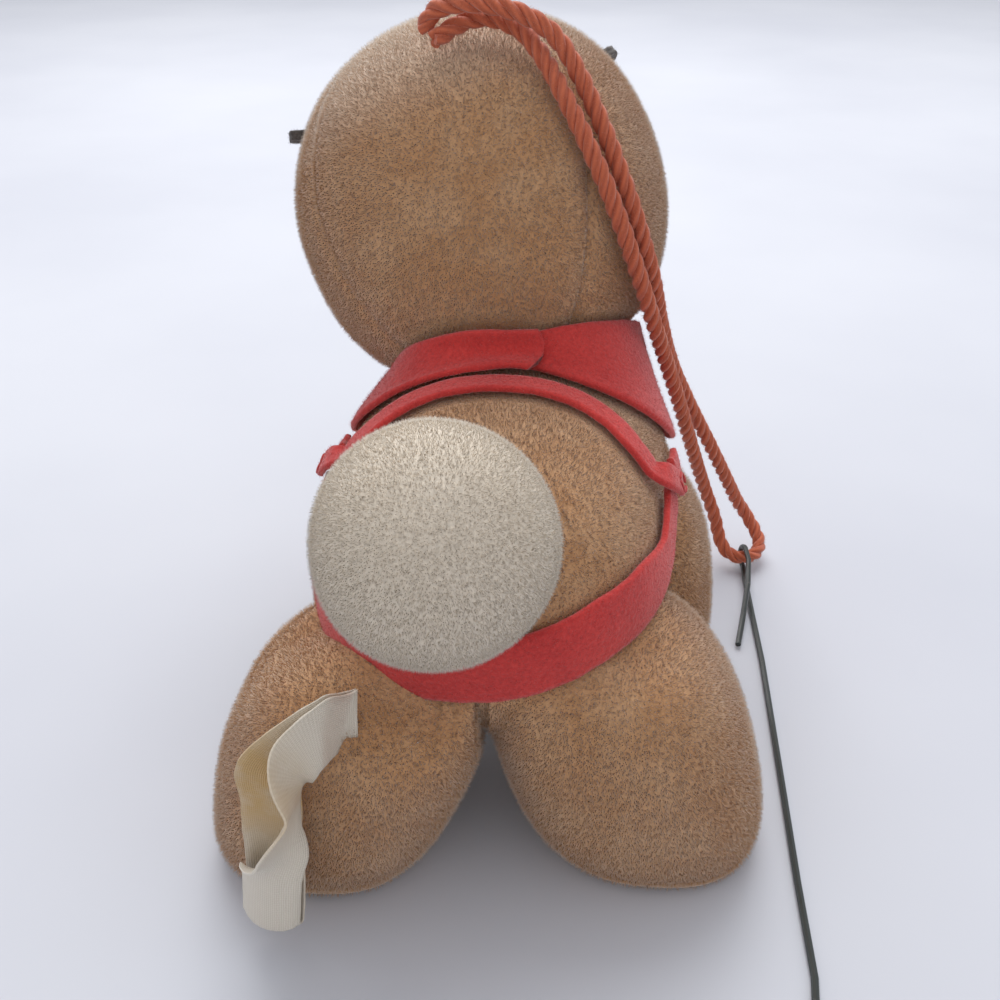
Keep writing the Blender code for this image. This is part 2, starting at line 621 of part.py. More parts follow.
def make_tail():
    """The big plush ball of the tail, flattened where it is sewn to the rump."""
    root = TORSO.toward(TAIL_CENTRE)
    out = TORSO.normal(root)
    ball = Form(TAIL_CENTRE, Vector((1, 1, 1)) * TAIL_RADIUS)
    skin = form_piece("tail_skin", ball, 24, 14, CREAM)
    face = frame_at(root + out * TAIL_ROOT_GAP, out, Vector((1, 0, 0)))
    flat = box_cutter("tail_root_plane", BIG_BLOCK, face)
    cut(skin, form_cutter("tail_void", ball.grown(-PLUSH), 14, 9), flat)
    stuffing = form_piece("tail_stuffing", ball.grown(-PLUSH - GAP), 14, 9, STUFFING)
    cut(stuffing, flat)
    hang_on(joint_empty("tail_joint", root), skin, stuffing)


def ray_exit(origin, direction, reach=45 * MM, steps=90):
    """Where a ray from inside the neck finally leaves both head and torso."""
    last = 0.0
    for step in range(steps + 1):
        t = reach * step / steps
        point = origin + direction * t
        if min(HEAD.level(point), TORSO.level(point)) < 1.0:
            last = t
    low = last
    high = last + reach / steps
    for _ in range(20):
        middle = (low + high) / 2
        point = origin + direction * middle
        if min(HEAD.level(point), TORSO.level(point)) < 1.0:
            low = middle
        else:
            high = middle
    return origin + direction * high


def pushed_clear(point, out):
    """The point, moved out where it lies closer than out to the head or the torso."""
    for form in (HEAD, TORSO):
        if form.grown(out).level(point) < 1.0:
            point = form.toward(point, out)
    return point


def collar_edge(angle, row):
    """The tilt of a collar edge about the neck: row 0 is the head's side and row 1 the body's. The
    skew lifts the head's side of it on the right and lowers it on the left, where the tuck also draws
    it in under the bulge of the head."""
    nape, side, throat = (COLLAR_TILTS[k][row] for k in ("nape", "side", "throat"))
    middle = (nape + throat) / 2
    tilt = (middle + side) / 2 + (nape - throat) / 2 * math.cos(angle)
    tilt += (middle - side) / 2 * math.cos(2 * angle)
    if row == 0:
        tilt -= COLLAR_SKEW * math.sin(angle)
        tilt -= COLLAR_TUCK * max(0.0, math.cos(angle - COLLAR_TUCK_ANGLE)) ** 3
    return math.radians(tilt)


def make_collar():
    """A felt band round the neck, whose two ends lap over each other at the nape."""
    side_way = Vector((1, 0, 0))
    nape_way = NECK_AXIS.cross(side_way).normalized() * -1
    if nape_way.y > 0:
        nape_way = -nape_way
    steps = 44
    lap = COLLAR_LAP / (2 * math.pi)
    rows = []
    for i in range(steps + 1):
        share = i / steps
        angle = COLLAR_END - share * (2 * math.pi + COLLAR_LAP)
        lift = GAP + (FELT + GAP) * ease(share, 1 - 1.9 * lap, 1 - 1.05 * lap)
        ring_way = nape_way * math.cos(angle) - side_way * math.sin(angle)
        edges = []
        for row in (0, 1):
            tilt = collar_edge(angle, row)
            edges.append(ray_exit(NECK_CENTRE, ring_way * math.cos(tilt) + NECK_AXIS * math.sin(tilt)))
        rows.append([pushed_clear(edges[0].lerp(edges[1], k / 3), lift) for k in range(4)])
    mesh = grid_mesh("collar", rows, lambda p: p - NECK_CENTRE)
    thicken(add_piece("collar", mesh, RED_FELT), FELT)


def outward(point):
    return point - TORSO_CENTRE


def breeching_half(share):
    """Half the breeching strap's width: narrow at the flanks and wide round the haunches."""
    from_end = 0.5 - abs(share - 0.5)
    return STRAP_WIDTH / 2 + (BREECHING_WIDTH - STRAP_WIDTH) / 2 * ease(from_end, 0.1, 0.26)


def breeching_room(name, margin):
    """A cutter for the room round the breeching strap in the haunches, open to the outside."""
    rows = torso_strip(BREECHING_ROUTE, lambda s: breeching_half(s) + margin, lambda s: GAP - margin, 2)
    room = add_cutter(name, grid_mesh(name, rows, outward))
    thicken(room, BREECHING_ROOM + margin)
    return room


def make_straps():
    """The back strap, the breeching strap round the haunches, and the links up to the collar.
    The back strap's ends lie on top, and a stitch holds the strips at each flank."""
    layer = FELT + GAP
    back_rows = torso_strip(both_sides(BACK_ROUTE), lambda s: STRAP_WIDTH / 2,
                            lambda s: GAP + layer * ease(abs(s - 0.5), 0.36, 0.43), 2)
    thicken(add_piece("back_strap", grid_mesh("back_strap", back_rows, outward), RED_FELT), FELT)
    rows = torso_strip(BREECHING_ROUTE, breeching_half, lambda s: GAP, 2)
    thicken(add_piece("breeching_strap", grid_mesh("breeching_strap", rows, outward), RED_FELT), FELT)
    for side_name, side in SIDES:
        route = [(x * side, y, z) for x, y, z in LINK_ROUTE]
        rows = torso_strip(route, lambda s: STRAP_WIDTH / 2, lambda s: GAP, 2)
        link = grid_mesh("collar_link_" + side_name, rows, outward)
        thicken(add_piece("collar_link_" + side_name, link, RED_FELT), FELT)
        make_stitch(side_name, side, GAP + layer + FELT + GAP)


def make_stitch(side_name, side, height):
    """A ring of thread sewn through the straps where they meet at the flank."""
    place = TORSO.toward(mirrored(Vector(BACK_ROUTE[-1]) * MM, side), height + STITCH_THREAD / 2)
    frame = frame_at(place, TORSO.normal(place), Vector((0, 0, 1)))
    circle = [(STITCH_RADIUS + STITCH_THREAD / 2 * math.cos(a), STITCH_THREAD / 2 * math.sin(a)) for a in
              (-2 * math.pi * i / 5 for i in range(5))]
    turned_piece("flank_stitch_" + side_name, circle, 12, RED_THREAD, frame, closed=True)


def make_label():
    """A satin ribbon folded to a loop, both ends held in the seam of the left haunch."""
    line = smooth_route([Vector(p) * MM for p in LABEL_ROUTE], 2)
    widths = smooth_route([Vector(p) for p in LABEL_ACROSS], 2)
    outer = []
    inner = []
    for i, (point, across) in enumerate(zip(line, widths)):
        share = i / (len(line) - 1)
        along = (line[min(i + 1, len(line) - 1)] - line[max(i - 1, 0)]).normalized()
        out = across.cross(along).normalized()
        half = across.normalized() * LABEL_WIDTH / 2
        spread = (LABEL_THICKNESS + GAP) / 2 + LABEL_SPREAD * math.sin(math.pi * share) ** 0.7
        if share == 1.0:
            fold = point + along * LABEL_SPREAD * 0.5
        outer.append([point + out * spread - half, point + out * spread + half])
        inner.append([point - out * spread - half, point - out * spread + half])
    last = widths[-1].normalized() * LABEL_WIDTH / 2
    rows = outer + [[fold - last, fold + last]] + inner[::-1]
    mesh = grid_mesh("label", rows, lambda p: p - line[len(line) // 2])
    label = add_piece("label", mesh, SATIN)
    thicken(label, LABEL_THICKNESS, 0.0)
    hang_on(joint_empty("label_joint", line[0]), label)


def make_cord():
    """One cord doubled to a hanging loop: from the crown over the head, down to where its bend lies
    beside the right fore leg, and back. Its knot sits inside the crown."""
    knot = Form(CROWN - CROWN_NORMAL * KNOT_DEPTH, Vector((1, 1, 1)) * KNOT_RADIUS)
    knot_piece = form_piece("crown_knot", knot, 12, 8, ORANGE_CORD)
    stub = rod_cutter("knot_stub", CROWN_HOLE_RADIUS - GAP, CROWN - CROWN_NORMAL * KNOT_DEPTH, CROWN, 12)
    union = knot_piece.modifiers.new("stub through the crown", "BOOLEAN")
    union.operation = "UNION"
    union.object = stub
    points = smooth_route([Vector(p) * MM for p in CORD_ROUTE], 2)
    cord = tube("cord_loop", points, CORD_DIAMETER, ORANGE_CORD)
    hang_on(joint_empty("lift_joint", (points[0] + points[-1]) / 2), cord)


def make_hook():
    """A wire hook: a small bend round the end of the loop, a short leg that crosses the long stem, and
    an open crook at the stem's far end."""
    bend = []
    for degrees in range(-90, 91, 20):
        angle = math.radians(degrees)
        offset = HOOK_BACK * math.cos(angle) + Vector((0, 0, math.sin(angle)))
        bend.append(HOOK_EYE + offset * HOOK_BEND_RADIUS)
    stem = [Vector((x * MM, y * MM, WIRE_REST)) for x, y in HOOK_STEM]
    centre = stem[-1] + Vector((CROOK_RADIUS, 0, 0))
    crook = []
    for degrees in range(200, 361, 20):
        angle = math.radians(degrees)
        crook.append(centre + Vector((math.cos(angle), math.sin(angle), 0)) * CROOK_RADIUS)
    leg = [Vector(p) * MM for p in HOOK_LEG]
    points = crook[::-1] + smooth_route(stem[::-1] + bend + leg, 1)
    hook = tube("wire_hook", points, WIRE_DIAMETER, DARK_WIRE)
    hang_on(joint_empty("hook_joint", HOOK_EYE), hook)


make_head()
make_muzzle()
for name, sign in SIDES:
    make_ear(name, sign)
    make_antler(name, sign)
make_torso()
make_straps()
make_legs()
make_tail()
make_collar()
make_label()
make_cord()
make_hook()
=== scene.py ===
# %% [markdown]
# # A stuffed reindeer ornament, seen from behind
# The ornament is a small plush animal: a round head, a body, four stub legs and a ball of a tail, with a
# felt harness, a folded satin label and a hanging cord. The measured solids are loaded first and stay
# fixed. Each piece below is made in the same frame, over the solid that it stands for.

# %% Load the frame
import math
from contextlib import contextmanager

import bmesh
import bpy
import numpy as np
from mathutils import Matrix, Vector, noise
from mathutils.bvhtree import BVHTree


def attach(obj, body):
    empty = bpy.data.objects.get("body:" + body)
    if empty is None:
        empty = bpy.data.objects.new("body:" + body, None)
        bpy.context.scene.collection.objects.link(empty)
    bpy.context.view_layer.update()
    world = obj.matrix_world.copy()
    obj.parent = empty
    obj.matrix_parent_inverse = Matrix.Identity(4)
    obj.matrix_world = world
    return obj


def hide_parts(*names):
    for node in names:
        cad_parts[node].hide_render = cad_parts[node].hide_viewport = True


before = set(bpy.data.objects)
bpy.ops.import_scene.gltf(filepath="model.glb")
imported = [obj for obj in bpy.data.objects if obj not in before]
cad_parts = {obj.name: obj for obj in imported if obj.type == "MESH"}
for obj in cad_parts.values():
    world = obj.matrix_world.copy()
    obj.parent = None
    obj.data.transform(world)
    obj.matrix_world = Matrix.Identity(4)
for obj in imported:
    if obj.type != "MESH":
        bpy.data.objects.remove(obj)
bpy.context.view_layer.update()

MM = 0.001
SIDES = (("left", -1), ("right", 1))

# %% [markdown]
# ## The camera
# The photograph looks down at the back of the toy from behind. The camera's place, tilt and lens were
# worked out from where the legs stand and how the straps narrow with distance.

# %% Camera
CAMERA_PLACE = (0.010708, -0.142506, 0.1235)
CAMERA_TILT = math.radians(57)
CAMERA_TURN = math.radians(5)
SENSOR = 36.0
LENS = 38.736

camera = bpy.data.objects.new("photo_camera", bpy.data.cameras.new("photo_camera"))
bpy.context.scene.collection.objects.link(camera)
camera.location = CAMERA_PLACE
camera.rotation_euler = (CAMERA_TILT, 0, CAMERA_TURN)
camera.data.sensor_width = SENSOR
camera.data.lens = LENS
camera.data.clip_start = MM
bpy.context.scene.camera = camera
print("camera at", CAMERA_PLACE)

# %% [markdown]
# ## Building node trees in code
# Shaders and Geometry Nodes are both trees of nodes. A small class makes them short to write: each of its
# methods adds a node, feeds its sockets with values or with other nodes' outputs, and gives its output.


# %% Helpers for node trees
class Nodes:
    """A node tree, with short names for what is used often."""

    def __init__(self, tree):
        self.tree = tree

    def feed(self, socket, value):
        if isinstance(value, bpy.types.NodeSocket):
            self.tree.links.new(value, socket)
        else:
            socket.default_value = value

    def node(self, kind, inputs=None, **settings):
        made = self.tree.nodes.new(kind)
        for name, value in settings.items():
            setattr(made, name, value)
        for socket, value in (inputs or {}).items():
            self.feed(made.inputs[socket], value)
        return made

    def out(self, kind, inputs=None, output=0, **settings):
        return self.node(kind, inputs, **settings).outputs[output]

    def math(self, operation, *values):
        return self.out("ShaderNodeMath", dict(enumerate(values)), operation=operation)

    def vector(self, operation, *values, output=0):
        return self.out("ShaderNodeVectorMath", dict(enumerate(values)), output, operation=operation)

    def scaled(self, vector, factor):
        return self.out("ShaderNodeVectorMath", {0: vector, "Scale": factor}, operation="SCALE")

    def ranged(self, value, *limits):
        """A value mapped from the first two limits to the last two."""
        return self.out("ShaderNodeMapRange", dict(enumerate((value, *limits))))

    def mixed(self, share, first, second, blend="MIX"):
        inputs = {0: share, 6: first, 7: second}
        return self.out("ShaderNodeMix", inputs, 2, data_type="RGBA", blend_type=blend)

    def place(self):
        return self.out("ShaderNodeTexCoord", None, "Object")

    def noise(self, scale, detail, **more):
        inputs = {"Vector": self.place(), "Scale": scale, "Detail": detail, **more}
        return self.out("ShaderNodeTexNoise", inputs)

    def attribute(self, name):
        return self.out("ShaderNodeAttribute", None, "Fac", attribute_name=name)

    def colour(self, shader, share, dark, light_colour):
        self.feed(shader.inputs["Base Color"], self.mixed(share, opaque(dark), opaque(light_colour)))

    def bump(self, shader, height, depth):
        inputs = {"Height": height, "Distance": depth, "Strength": 1.0}
        self.feed(shader.inputs["Normal"], self.out("ShaderNodeBump", inputs))

    def named(self, name, data_type="FLOAT"):
        return self.out("GeometryNodeInputNamedAttribute", {"Name": name}, data_type=data_type)

    def random(self, low, high, seed):
        """A random number for each point, or a random vector where low and high are vectors."""
        first, kind = (0, "FLOAT_VECTOR") if isinstance(low, tuple) else (2, "FLOAT")
        inputs = {first: low, first + 1: high, "Seed": seed}
        return self.out("FunctionNodeRandomValue", inputs, first // 2, data_type=kind)

    def stored(self, geometry, name, value, domain="POINT"):
        inputs = {"Geometry": geometry, "Name": name, "Value": value}
        return self.out("GeometryNodeStoreNamedAttribute", inputs, data_type="FLOAT", domain=domain)

    def placed(self, points, instance, way, size):
        """Copies of an instance on points, each with its Z axis turned along the way."""
        turn = self.out("FunctionNodeAlignRotationToVector", {"Vector": way}, axis="Z")
        inputs = {"Points": points, "Instance": instance, "Rotation": turn, "Scale": size}
        return self.out("GeometryNodeInstanceOnPoints", inputs)

    def finished(self, geometry, material):
        """The geometry as a plain mesh, shaded smooth, in its material."""
        real = self.out("GeometryNodeRealizeInstances", {0: geometry})
        smooth = self.out("GeometryNodeSetShadeSmooth", {"Geometry": real, "Shade Smooth": True})
        return self.out("GeometryNodeSetMaterial", {"Geometry": smooth, "Material": material})


SOCKET_TYPES = {float: "Float", int: "Int", tuple: "Color"}


def new_group(name, kind, inputs, outputs):
    """A node group. inputs maps each name to its default or its socket type, outputs to its socket type."""
    tree = bpy.data.node_groups.new(name, kind)
    for label, default in inputs.items():
        typed = default if isinstance(default, str) else SOCKET_TYPES[type(default)]
        socket = tree.interface.new_socket(label, in_out="INPUT", socket_type="NodeSocket" + typed)
        if typed != default:
            socket.default_value = default
    for label, typed in outputs.items():
        tree.interface.new_socket(label, in_out="OUTPUT", socket_type="NodeSocket" + typed)
    start = tree.nodes.new("NodeGroupInput")
    end = tree.nodes.new("NodeGroupOutput")
    return Nodes(tree), start.outputs, end.inputs


def principled(name, roughness, **plain):
    """A new material; plain sockets are given by name, with spaces written as underscores."""
    made = bpy.data.materials.new(name)
    made.use_nodes = True
    shader = made.node_tree.nodes["Principled BSDF"]
    shader.inputs["Roughness"].default_value = roughness
    for socket, value in plain.items():
        shader.inputs[socket.replace("_", " ")].default_value = value
    return made, Nodes(made.node_tree), shader


def patterned(name, roughness, group, settings, depth, **plain):
    """A finish that takes its colour and its relief from a shader group."""
    made, nodes, shader = principled(name, roughness, **plain)
    pattern = nodes.node("ShaderNodeGroup", settings, node_tree=group)
    nodes.feed(shader.inputs["Base Color"], pattern.outputs["Color"])
    nodes.bump(shader, pattern.outputs["Height"], depth)
    return made


def mottled(name, roughness, scale, detail, dark, light_colour, spread=None, rough_limits=None, depth=0.0,
            metal=False, texture=None, **plain):
    """A finish that one noise mottles. spread sharpens its colour, and rough_limits map its roughness."""
    made, nodes, shader = principled(name, roughness, **plain)
    field = nodes.noise(scale, detail, **(texture or {}))
    share = nodes.ranged(field, *spread, 0.0, 1.0) if spread else field
    nodes.colour(shader, share, dark, light_colour)
    if rough_limits:
        nodes.feed(shader.inputs["Roughness"], nodes.ranged(field, *rough_limits))
    if metal:
        nodes.feed(shader.inputs["Metallic"], share)
    if depth:
        nodes.bump(shader, field, depth)
    return made


def opaque(colour):
    return (*colour, 1.0)


# %% [markdown]
# ## Colour of the pile
# Plush is woven cloth with cut fibres standing in it. Light gets lost between the fibres, so they are dark
# at the root and bright at the tip. Each fibre carries two attributes, "along" from root to tip and
# "tone", a random number. A fine noise stands for the fibres too small to model, and a wide soft one for
# the patches where the pile is brushed another way.

# %% Shader group for plush fibres
GREY = opaque((0.5, 0.5, 0.5))
# The way to the crown, and the most that the painted highlight on the crown takes of the pile's colour.
CROWN_WAY = (-0.352, 0.302, 0.886)
PAINTED_LIGHT_MOST = 0.8
nodes, given, result = new_group(
    "pile colour", "ShaderNodeTree",
    {"Root": opaque((0.1, 0.1, 0.1)), "Tip": GREY, "Worn": GREY, "Patch Scale": 80.0, "Patches": 0.5,
     "Grain Scale": 2600.0, "Painted Light": GREY, "Painted Light Start": 1.0, "Painted Light End": 2.0},
    {"Color": "Color", "Height": "Float"})
pile_colour = nodes.tree
patches = nodes.ranged(nodes.noise(given["Patch Scale"], 3.0), 0.4, 0.65, 0.0, 1.0)
tip = nodes.mixed(nodes.math("MULTIPLY", patches, given["Patches"]), given["Tip"], given["Worn"])
shaded = nodes.mixed(nodes.math("POWER", nodes.attribute("along"), 0.7), given["Root"], tip)
# Towards the crown the pile is painted paler: a painted highlight for the light from behind and above.
up_there = nodes.vector("DOT_PRODUCT", nodes.place(), CROWN_WAY, output="Value")
painted_light_share = nodes.ranged(up_there, given["Painted Light Start"], given["Painted Light End"], 0.0, PAINTED_LIGHT_MOST)
shaded = nodes.mixed(painted_light_share, shaded, given["Painted Light"])
grains = nodes.noise(given["Grain Scale"], 2.0)
light = nodes.math("MULTIPLY", nodes.ranged(nodes.attribute("tone"), 0.0, 1.0, 0.92, 1.08),
                   nodes.ranged(grains, 0.3, 0.7, 0.88, 1.10))
light_colour = nodes.out("ShaderNodeCombineColor", {0: light, 1: light, 2: light})
nodes.feed(result["Color"], nodes.mixed(1.0, shaded, light_colour, "MULTIPLY"))
nodes.feed(result["Height"], grains)


def plush_finish(name, root, tip_colour, worn, patch_scale=80.0, patches_share=0.5, sheen=0.3, painted_light=None):
    """Plush. The last argument is a colour and the two distances from the origin between which the pile is
    painted towards it, a painted highlight on the crown.
    """
    settings = {"Root": opaque(root), "Tip": opaque(tip_colour), "Worn": opaque(worn),
                "Patch Scale": patch_scale, "Patches": patches_share}
    if painted_light:
        settings.update({"Painted Light": opaque(painted_light[0]), "Painted Light Start": painted_light[1], "Painted Light End": painted_light[2]})
    return patterned(name, 0.85, pile_colour, settings, 0.12 * MM, Sheen_Weight=sheen, Sheen_Roughness=0.5)


# The last colour and distances paint the crown of the head paler, a painted highlight.
TAN_PLUSH = plush_finish("tan_plush", (0.50, 0.26, 0.115), (0.58, 0.31, 0.14), (0.72, 0.46, 0.26), 150.0,
                         0.7, 0.7, ((0.86, 0.72, 0.58), 0.083, 0.098))
CREAM_PLUSH = plush_finish("cream_plush", (0.74, 0.64, 0.52), (0.79, 0.70, 0.58), (0.84, 0.76, 0.65), 120.0)
DARK_PLUSH = plush_finish("dark_plush", (0.012, 0.008, 0.006), (0.05, 0.032, 0.026), (0.07, 0.05, 0.04))
print("plush finishes:", TAN_PLUSH.name, CREAM_PLUSH.name, DARK_PLUSH.name)

# %% [markdown]
# ## The pile as Geometry Nodes
# One tree makes every pile and every fuzz here. It scatters points over the cloth, puts a thin pointed
# fibre on each, and turns it by the cloth's normal, the way the cloth was brushed, a slow noise that
# tousles it, and the middle of the tuft that it belongs to. Particle hair would be lost in an export, so
# the fibres are real geometry with four faces each.

# %% Geometry Nodes for pile and fuzz
nodes, given, result = new_group(
    "pile", "GeometryNodeTree",
    {"Geometry": "Geometry", "Density": 12.0e6, "Length": 1.5 * MM, "Width": 0.16 * MM, "Stand": 1.0,
     "Lean": 0.3, "Tousle": 0.8, "Tousle Scale": 160.0, "Tuft": 0.5, "Tuft Scale": 700.0, "Stray": 0.2,
     "Seed": 1, "Material": "Material"},
    {"Geometry": "Geometry"})
pile = nodes.tree
density = nodes.math("MULTIPLY", given["Density"], nodes.named("pile"))
scatter = nodes.node("GeometryNodeDistributePointsOnFaces",
                     {"Mesh": given["Geometry"], "Density": density, "Seed": given["Seed"]})
here = nodes.out("GeometryNodeInputPosition")
swirl = nodes.out("ShaderNodeTexNoise", {"Vector": here, "Scale": given["Tousle Scale"], "Detail": 2.0},
                  "Color")
swirl = nodes.vector("SUBTRACT", swirl, (0.5, 0.5, 0.5))
tuft = nodes.out("ShaderNodeTexVoronoi", {"Vector": here, "Scale": given["Tuft Scale"]}, "Position")
way = nodes.scaled(scatter.outputs["Normal"], given["Stand"])
for pull, strength in (
        (nodes.named("nap", "FLOAT_VECTOR"), given["Lean"]),
        (swirl, given["Tousle"]),
        (nodes.vector("SUBTRACT", tuft, here), nodes.math("MULTIPLY", given["Tuft"], given["Tuft Scale"])),
        (nodes.random((-1, -1, -1), (1, 1, 1), 5), given["Stray"])):
    way = nodes.vector("ADD", way, nodes.scaled(pull, strength))
fibre = nodes.out("GeometryNodeMeshCone",
                  {"Vertices": 3, "Radius Top": 0.0, "Radius Bottom": 0.5, "Depth": 1.0}, "Mesh")
fibre = nodes.stored(fibre, "along", nodes.out("ShaderNodeSeparateXYZ", {0: here}, "Z"))
length = nodes.math("MULTIPLY", given["Length"], nodes.named("height"))
length = nodes.math("MULTIPLY", length, nodes.random(0.7, 1.15, 11))
width = nodes.math("MULTIPLY", given["Width"], nodes.random(0.7, 1.2, 13))
size = nodes.out("ShaderNodeCombineXYZ", {0: width, 1: width, 2: length})
fibres = nodes.placed(scatter.outputs["Points"], fibre, way, size)
fibres = nodes.stored(fibres, "tone", nodes.random(0.0, 1.0, 17), "INSTANCE")
joined = nodes.node("GeometryNodeJoinGeometry")
for geometry in (nodes.finished(fibres, given["Material"]), given["Geometry"]):
    nodes.feed(joined.inputs[0], geometry)
nodes.feed(result["Geometry"], joined.outputs[0])
print("pile tree:", len(pile.nodes), "nodes")

# %% [markdown]
# ## From a tree to a plain mesh
# A modifier's result is live. The export and the frame want plain meshes, so each piece is evaluated once
# and keeps the result. Every piece then says which body it moves with and which solids it stands for.


# %% Helpers for finished pieces
def add_object(name, data):
    piece = bpy.data.objects.new(name, data)
    bpy.context.scene.collection.objects.link(piece)
    return piece


def new_piece(name, points, faces, edges=()):
    mesh = bpy.data.meshes.new(name)
    mesh.from_pydata([tuple(p) for p in points], list(edges), [tuple(f) for f in faces])
    mesh.shade_smooth()
    return add_object(name, mesh)


def settle(piece):
    """Replaces a piece's mesh by its evaluated result, with no modifier left."""
    graph = bpy.context.evaluated_depsgraph_get()
    mesh = bpy.data.meshes.new_from_object(piece.evaluated_get(graph), preserve_all_data_layers=True,
                                           depsgraph=graph)
    piece.modifiers.clear()
    mesh.name = piece.name
    piece.data = mesh
    return piece


def run_tree(piece, tree, settings):
    """Runs a tree on a piece, with its inputs set by name, and keeps the result."""
    modifier = piece.modifiers.new(tree.name, "NODES")
    modifier.node_group = tree
    for item in tree.interface.items_tree:
        if item.item_type == "SOCKET" and item.in_out == "INPUT" and item.name in settings:
            modifier[item.identifier] = settings[item.name]
    return settle(piece)


def on_lines(name, routes, tree, settings):
    """A piece that a tree makes along one or more routes of points."""
    points, edges = [], []
    for route in routes:
        first = len(points)
        points += list(route)
        edges += [(first + i, first + i + 1) for i in range(len(route) - 1)]
    return run_tree(new_piece(name, points, [], edges), tree, settings)


@contextmanager
def editing(mesh):
    """A mesh opened as a BMesh, written back at the end."""
    bm = bmesh.new()
    bm.from_mesh(mesh)
    yield bm
    bm.to_mesh(mesh)
    bm.free()


def of_points(mesh, what):
    """The place (co) or normal of every point of a mesh."""
    return np.array([getattr(v, what)[:] for v in mesh.vertices])


def move_to(mesh, points):
    mesh.vertices.foreach_set("co", points.astype(np.float32).ravel())
    mesh.update()


def write_attribute(mesh, name, values, data_type="FLOAT"):
    attribute = mesh.attributes.new(name, data_type, "POINT")
    field = "vector" if data_type == "FLOAT_VECTOR" else "value"
    attribute.data.foreach_set(field, np.asarray(values, dtype=np.float32).ravel())


def belongs(piece, body, nodes=()):
    """Says what a finished piece moves with and its solids, and prints its size."""
    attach(piece, body)
    if nodes:
        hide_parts(*nodes)
    triangles = sum(len(f.vertices) - 2 for f in piece.data.polygons)
    print(f"{piece.name}: {triangles} triangles")


# %% [markdown]
# ## The hanging cord
# The loop is one limp cord of three twisted plies, 2.5 mm thick and 269 mm long. Both its ends go into
# the crown. The route repeats the points of the solid cord, and a smooth curve runs through them.

# %% Route of the cord
CORD_ROUTE = [
    (-12.75, 9.8, 98.1), (-11.2, 9, 100.5), (-6.5, 7.4, 101.8), (-2.1, 6.8, 101.4), (1.8, 6.6, 100.1),
    (5.1, 6.5, 97.8), (9.4, 5.2, 91.4), (14.8, 2.6, 80.4), (19.2, 4.8, 68.1), (21.8, 10.9, 57),
    (24.6, 17.3, 47.2), (28.8, 22.8, 37), (33.8, 27.2, 26.5), (39, 32.2, 15.1), (40.8, 34, 11.1),
    (43.3, 34.7, 7.1), (45.3, 33, 4.3), (45.8, 30.9, 3.1), (44.5, 28.1, 2.6), (42.6, 27, 2.65),
    (40.7, 27, 2.8), (38.9, 27.8, 3.7), (37.8, 29.1, 5.4), (36.8, 30.4, 8.6), (33.8, 29.9, 16.4),
    (30.2, 24.4, 27.6), (26.8, 18.4, 38.9), (23.4, 12.3, 49.6), (20.4, 5.9, 59.2), (17.5, 2, 68),
    (12.6, 0.4, 80.2), (6.7, 3.1, 90.8), (2.5, 7.5, 96.3), (-0.4, 9.4, 98.6), (-4.4, 10.3, 99.6),
    (-7.4, 9.9, 99.1), (-11.15, 7.4, 97.2),
]


def smooth_route(points, samples):
    """Points along a centripetal Catmull-Rom curve, which passes through the route without loops."""
    route = [Vector(p) for p in points]
    ends = [route[0] * 2 - route[1]] + route + [route[-1] * 2 - route[-2]]
    smooth = []
    for a, b, c, d in zip(ends, ends[1:], ends[2:], ends[3:]):
        t1 = (b - a).length ** 0.5
        t2 = t1 + (c - b).length ** 0.5
        t3 = t2 + (d - c).length ** 0.5
        for step in range(samples):
            t = t1 + (t2 - t1) * step / samples
            ab = a * ((t1 - t) / t1) + b * (t / t1)
            bc = b * ((t2 - t) / (t2 - t1)) + c * ((t - t1) / (t2 - t1))
            cd = c * ((t3 - t) / (t3 - t2)) + d * ((t - t2) / (t3 - t2))
            abc = ab * ((t2 - t) / t2) + bc * (t / t2)
            bcd = bc * ((t3 - t) / (t3 - t1)) + cd * ((t - t1) / (t3 - t1))
            smooth.append(abc * ((t2 - t) / (t2 - t1)) + bcd * ((t - t1) / (t2 - t1)))
    smooth.append(route[-1])
    return smooth


def in_metres(points, samples):
    return [p * MM for p in smooth_route(points, samples)]


cord_path = in_metres(CORD_ROUTE, 5)
cord_run = sum((b - a).length for a, b in zip(cord_path, cord_path[1:]))
print(f"cord path: {len(cord_path)} points, {cord_run:.4f} m")

# %% [markdown]
# ## Three plies from one line
# A twisted cord is three round plies that wind about a common line. The tree copies the line three times,
# moves each copy out by the ply's offset at an angle that grows with the length, and sweeps a circle
# along it. It stores the length and the place round the ply, for the yarns that the shader draws.

# %% Geometry Nodes for twisted cord
nodes, given, result = new_group(
    "twisted cord", "GeometryNodeTree",
    {"Geometry": "Geometry", "Plies": 3, "Pitch": 7.2 * MM, "Offset": 0.62 * MM, "Ply Radius": 0.66 * MM,
     "Step": 0.4 * MM, "Material": "Material"},
    {"Geometry": "Geometry"})
twisted = nodes.tree
line = nodes.out("GeometryNodeMeshToCurve", {0: given["Geometry"]})
line = nodes.out("GeometryNodeResampleCurve", {"Curve": line, "Length": given["Step"]}, mode="LENGTH")
copies = nodes.node("GeometryNodeDuplicateElements", {"Geometry": line, "Amount": given["Plies"]},
                    domain="SPLINE")
run = nodes.out("GeometryNodeSplineParameter", None, "Length")
share_of_turn = nodes.math("DIVIDE", copies.outputs["Duplicate Index"], given["Plies"])
turns = nodes.math("ADD", nodes.math("DIVIDE", run, given["Pitch"]), share_of_turn)
angle = nodes.math("MULTIPLY", turns, 2 * math.pi)
normal = nodes.out("GeometryNodeInputNormal")
side_way = nodes.vector("CROSS_PRODUCT", nodes.out("GeometryNodeInputTangent"), normal)
offset = nodes.vector("ADD", nodes.scaled(normal, nodes.math("COSINE", angle)),
                      nodes.scaled(side_way, nodes.math("SINE", angle)))
plies = nodes.stored(copies.outputs[0], "run", run)
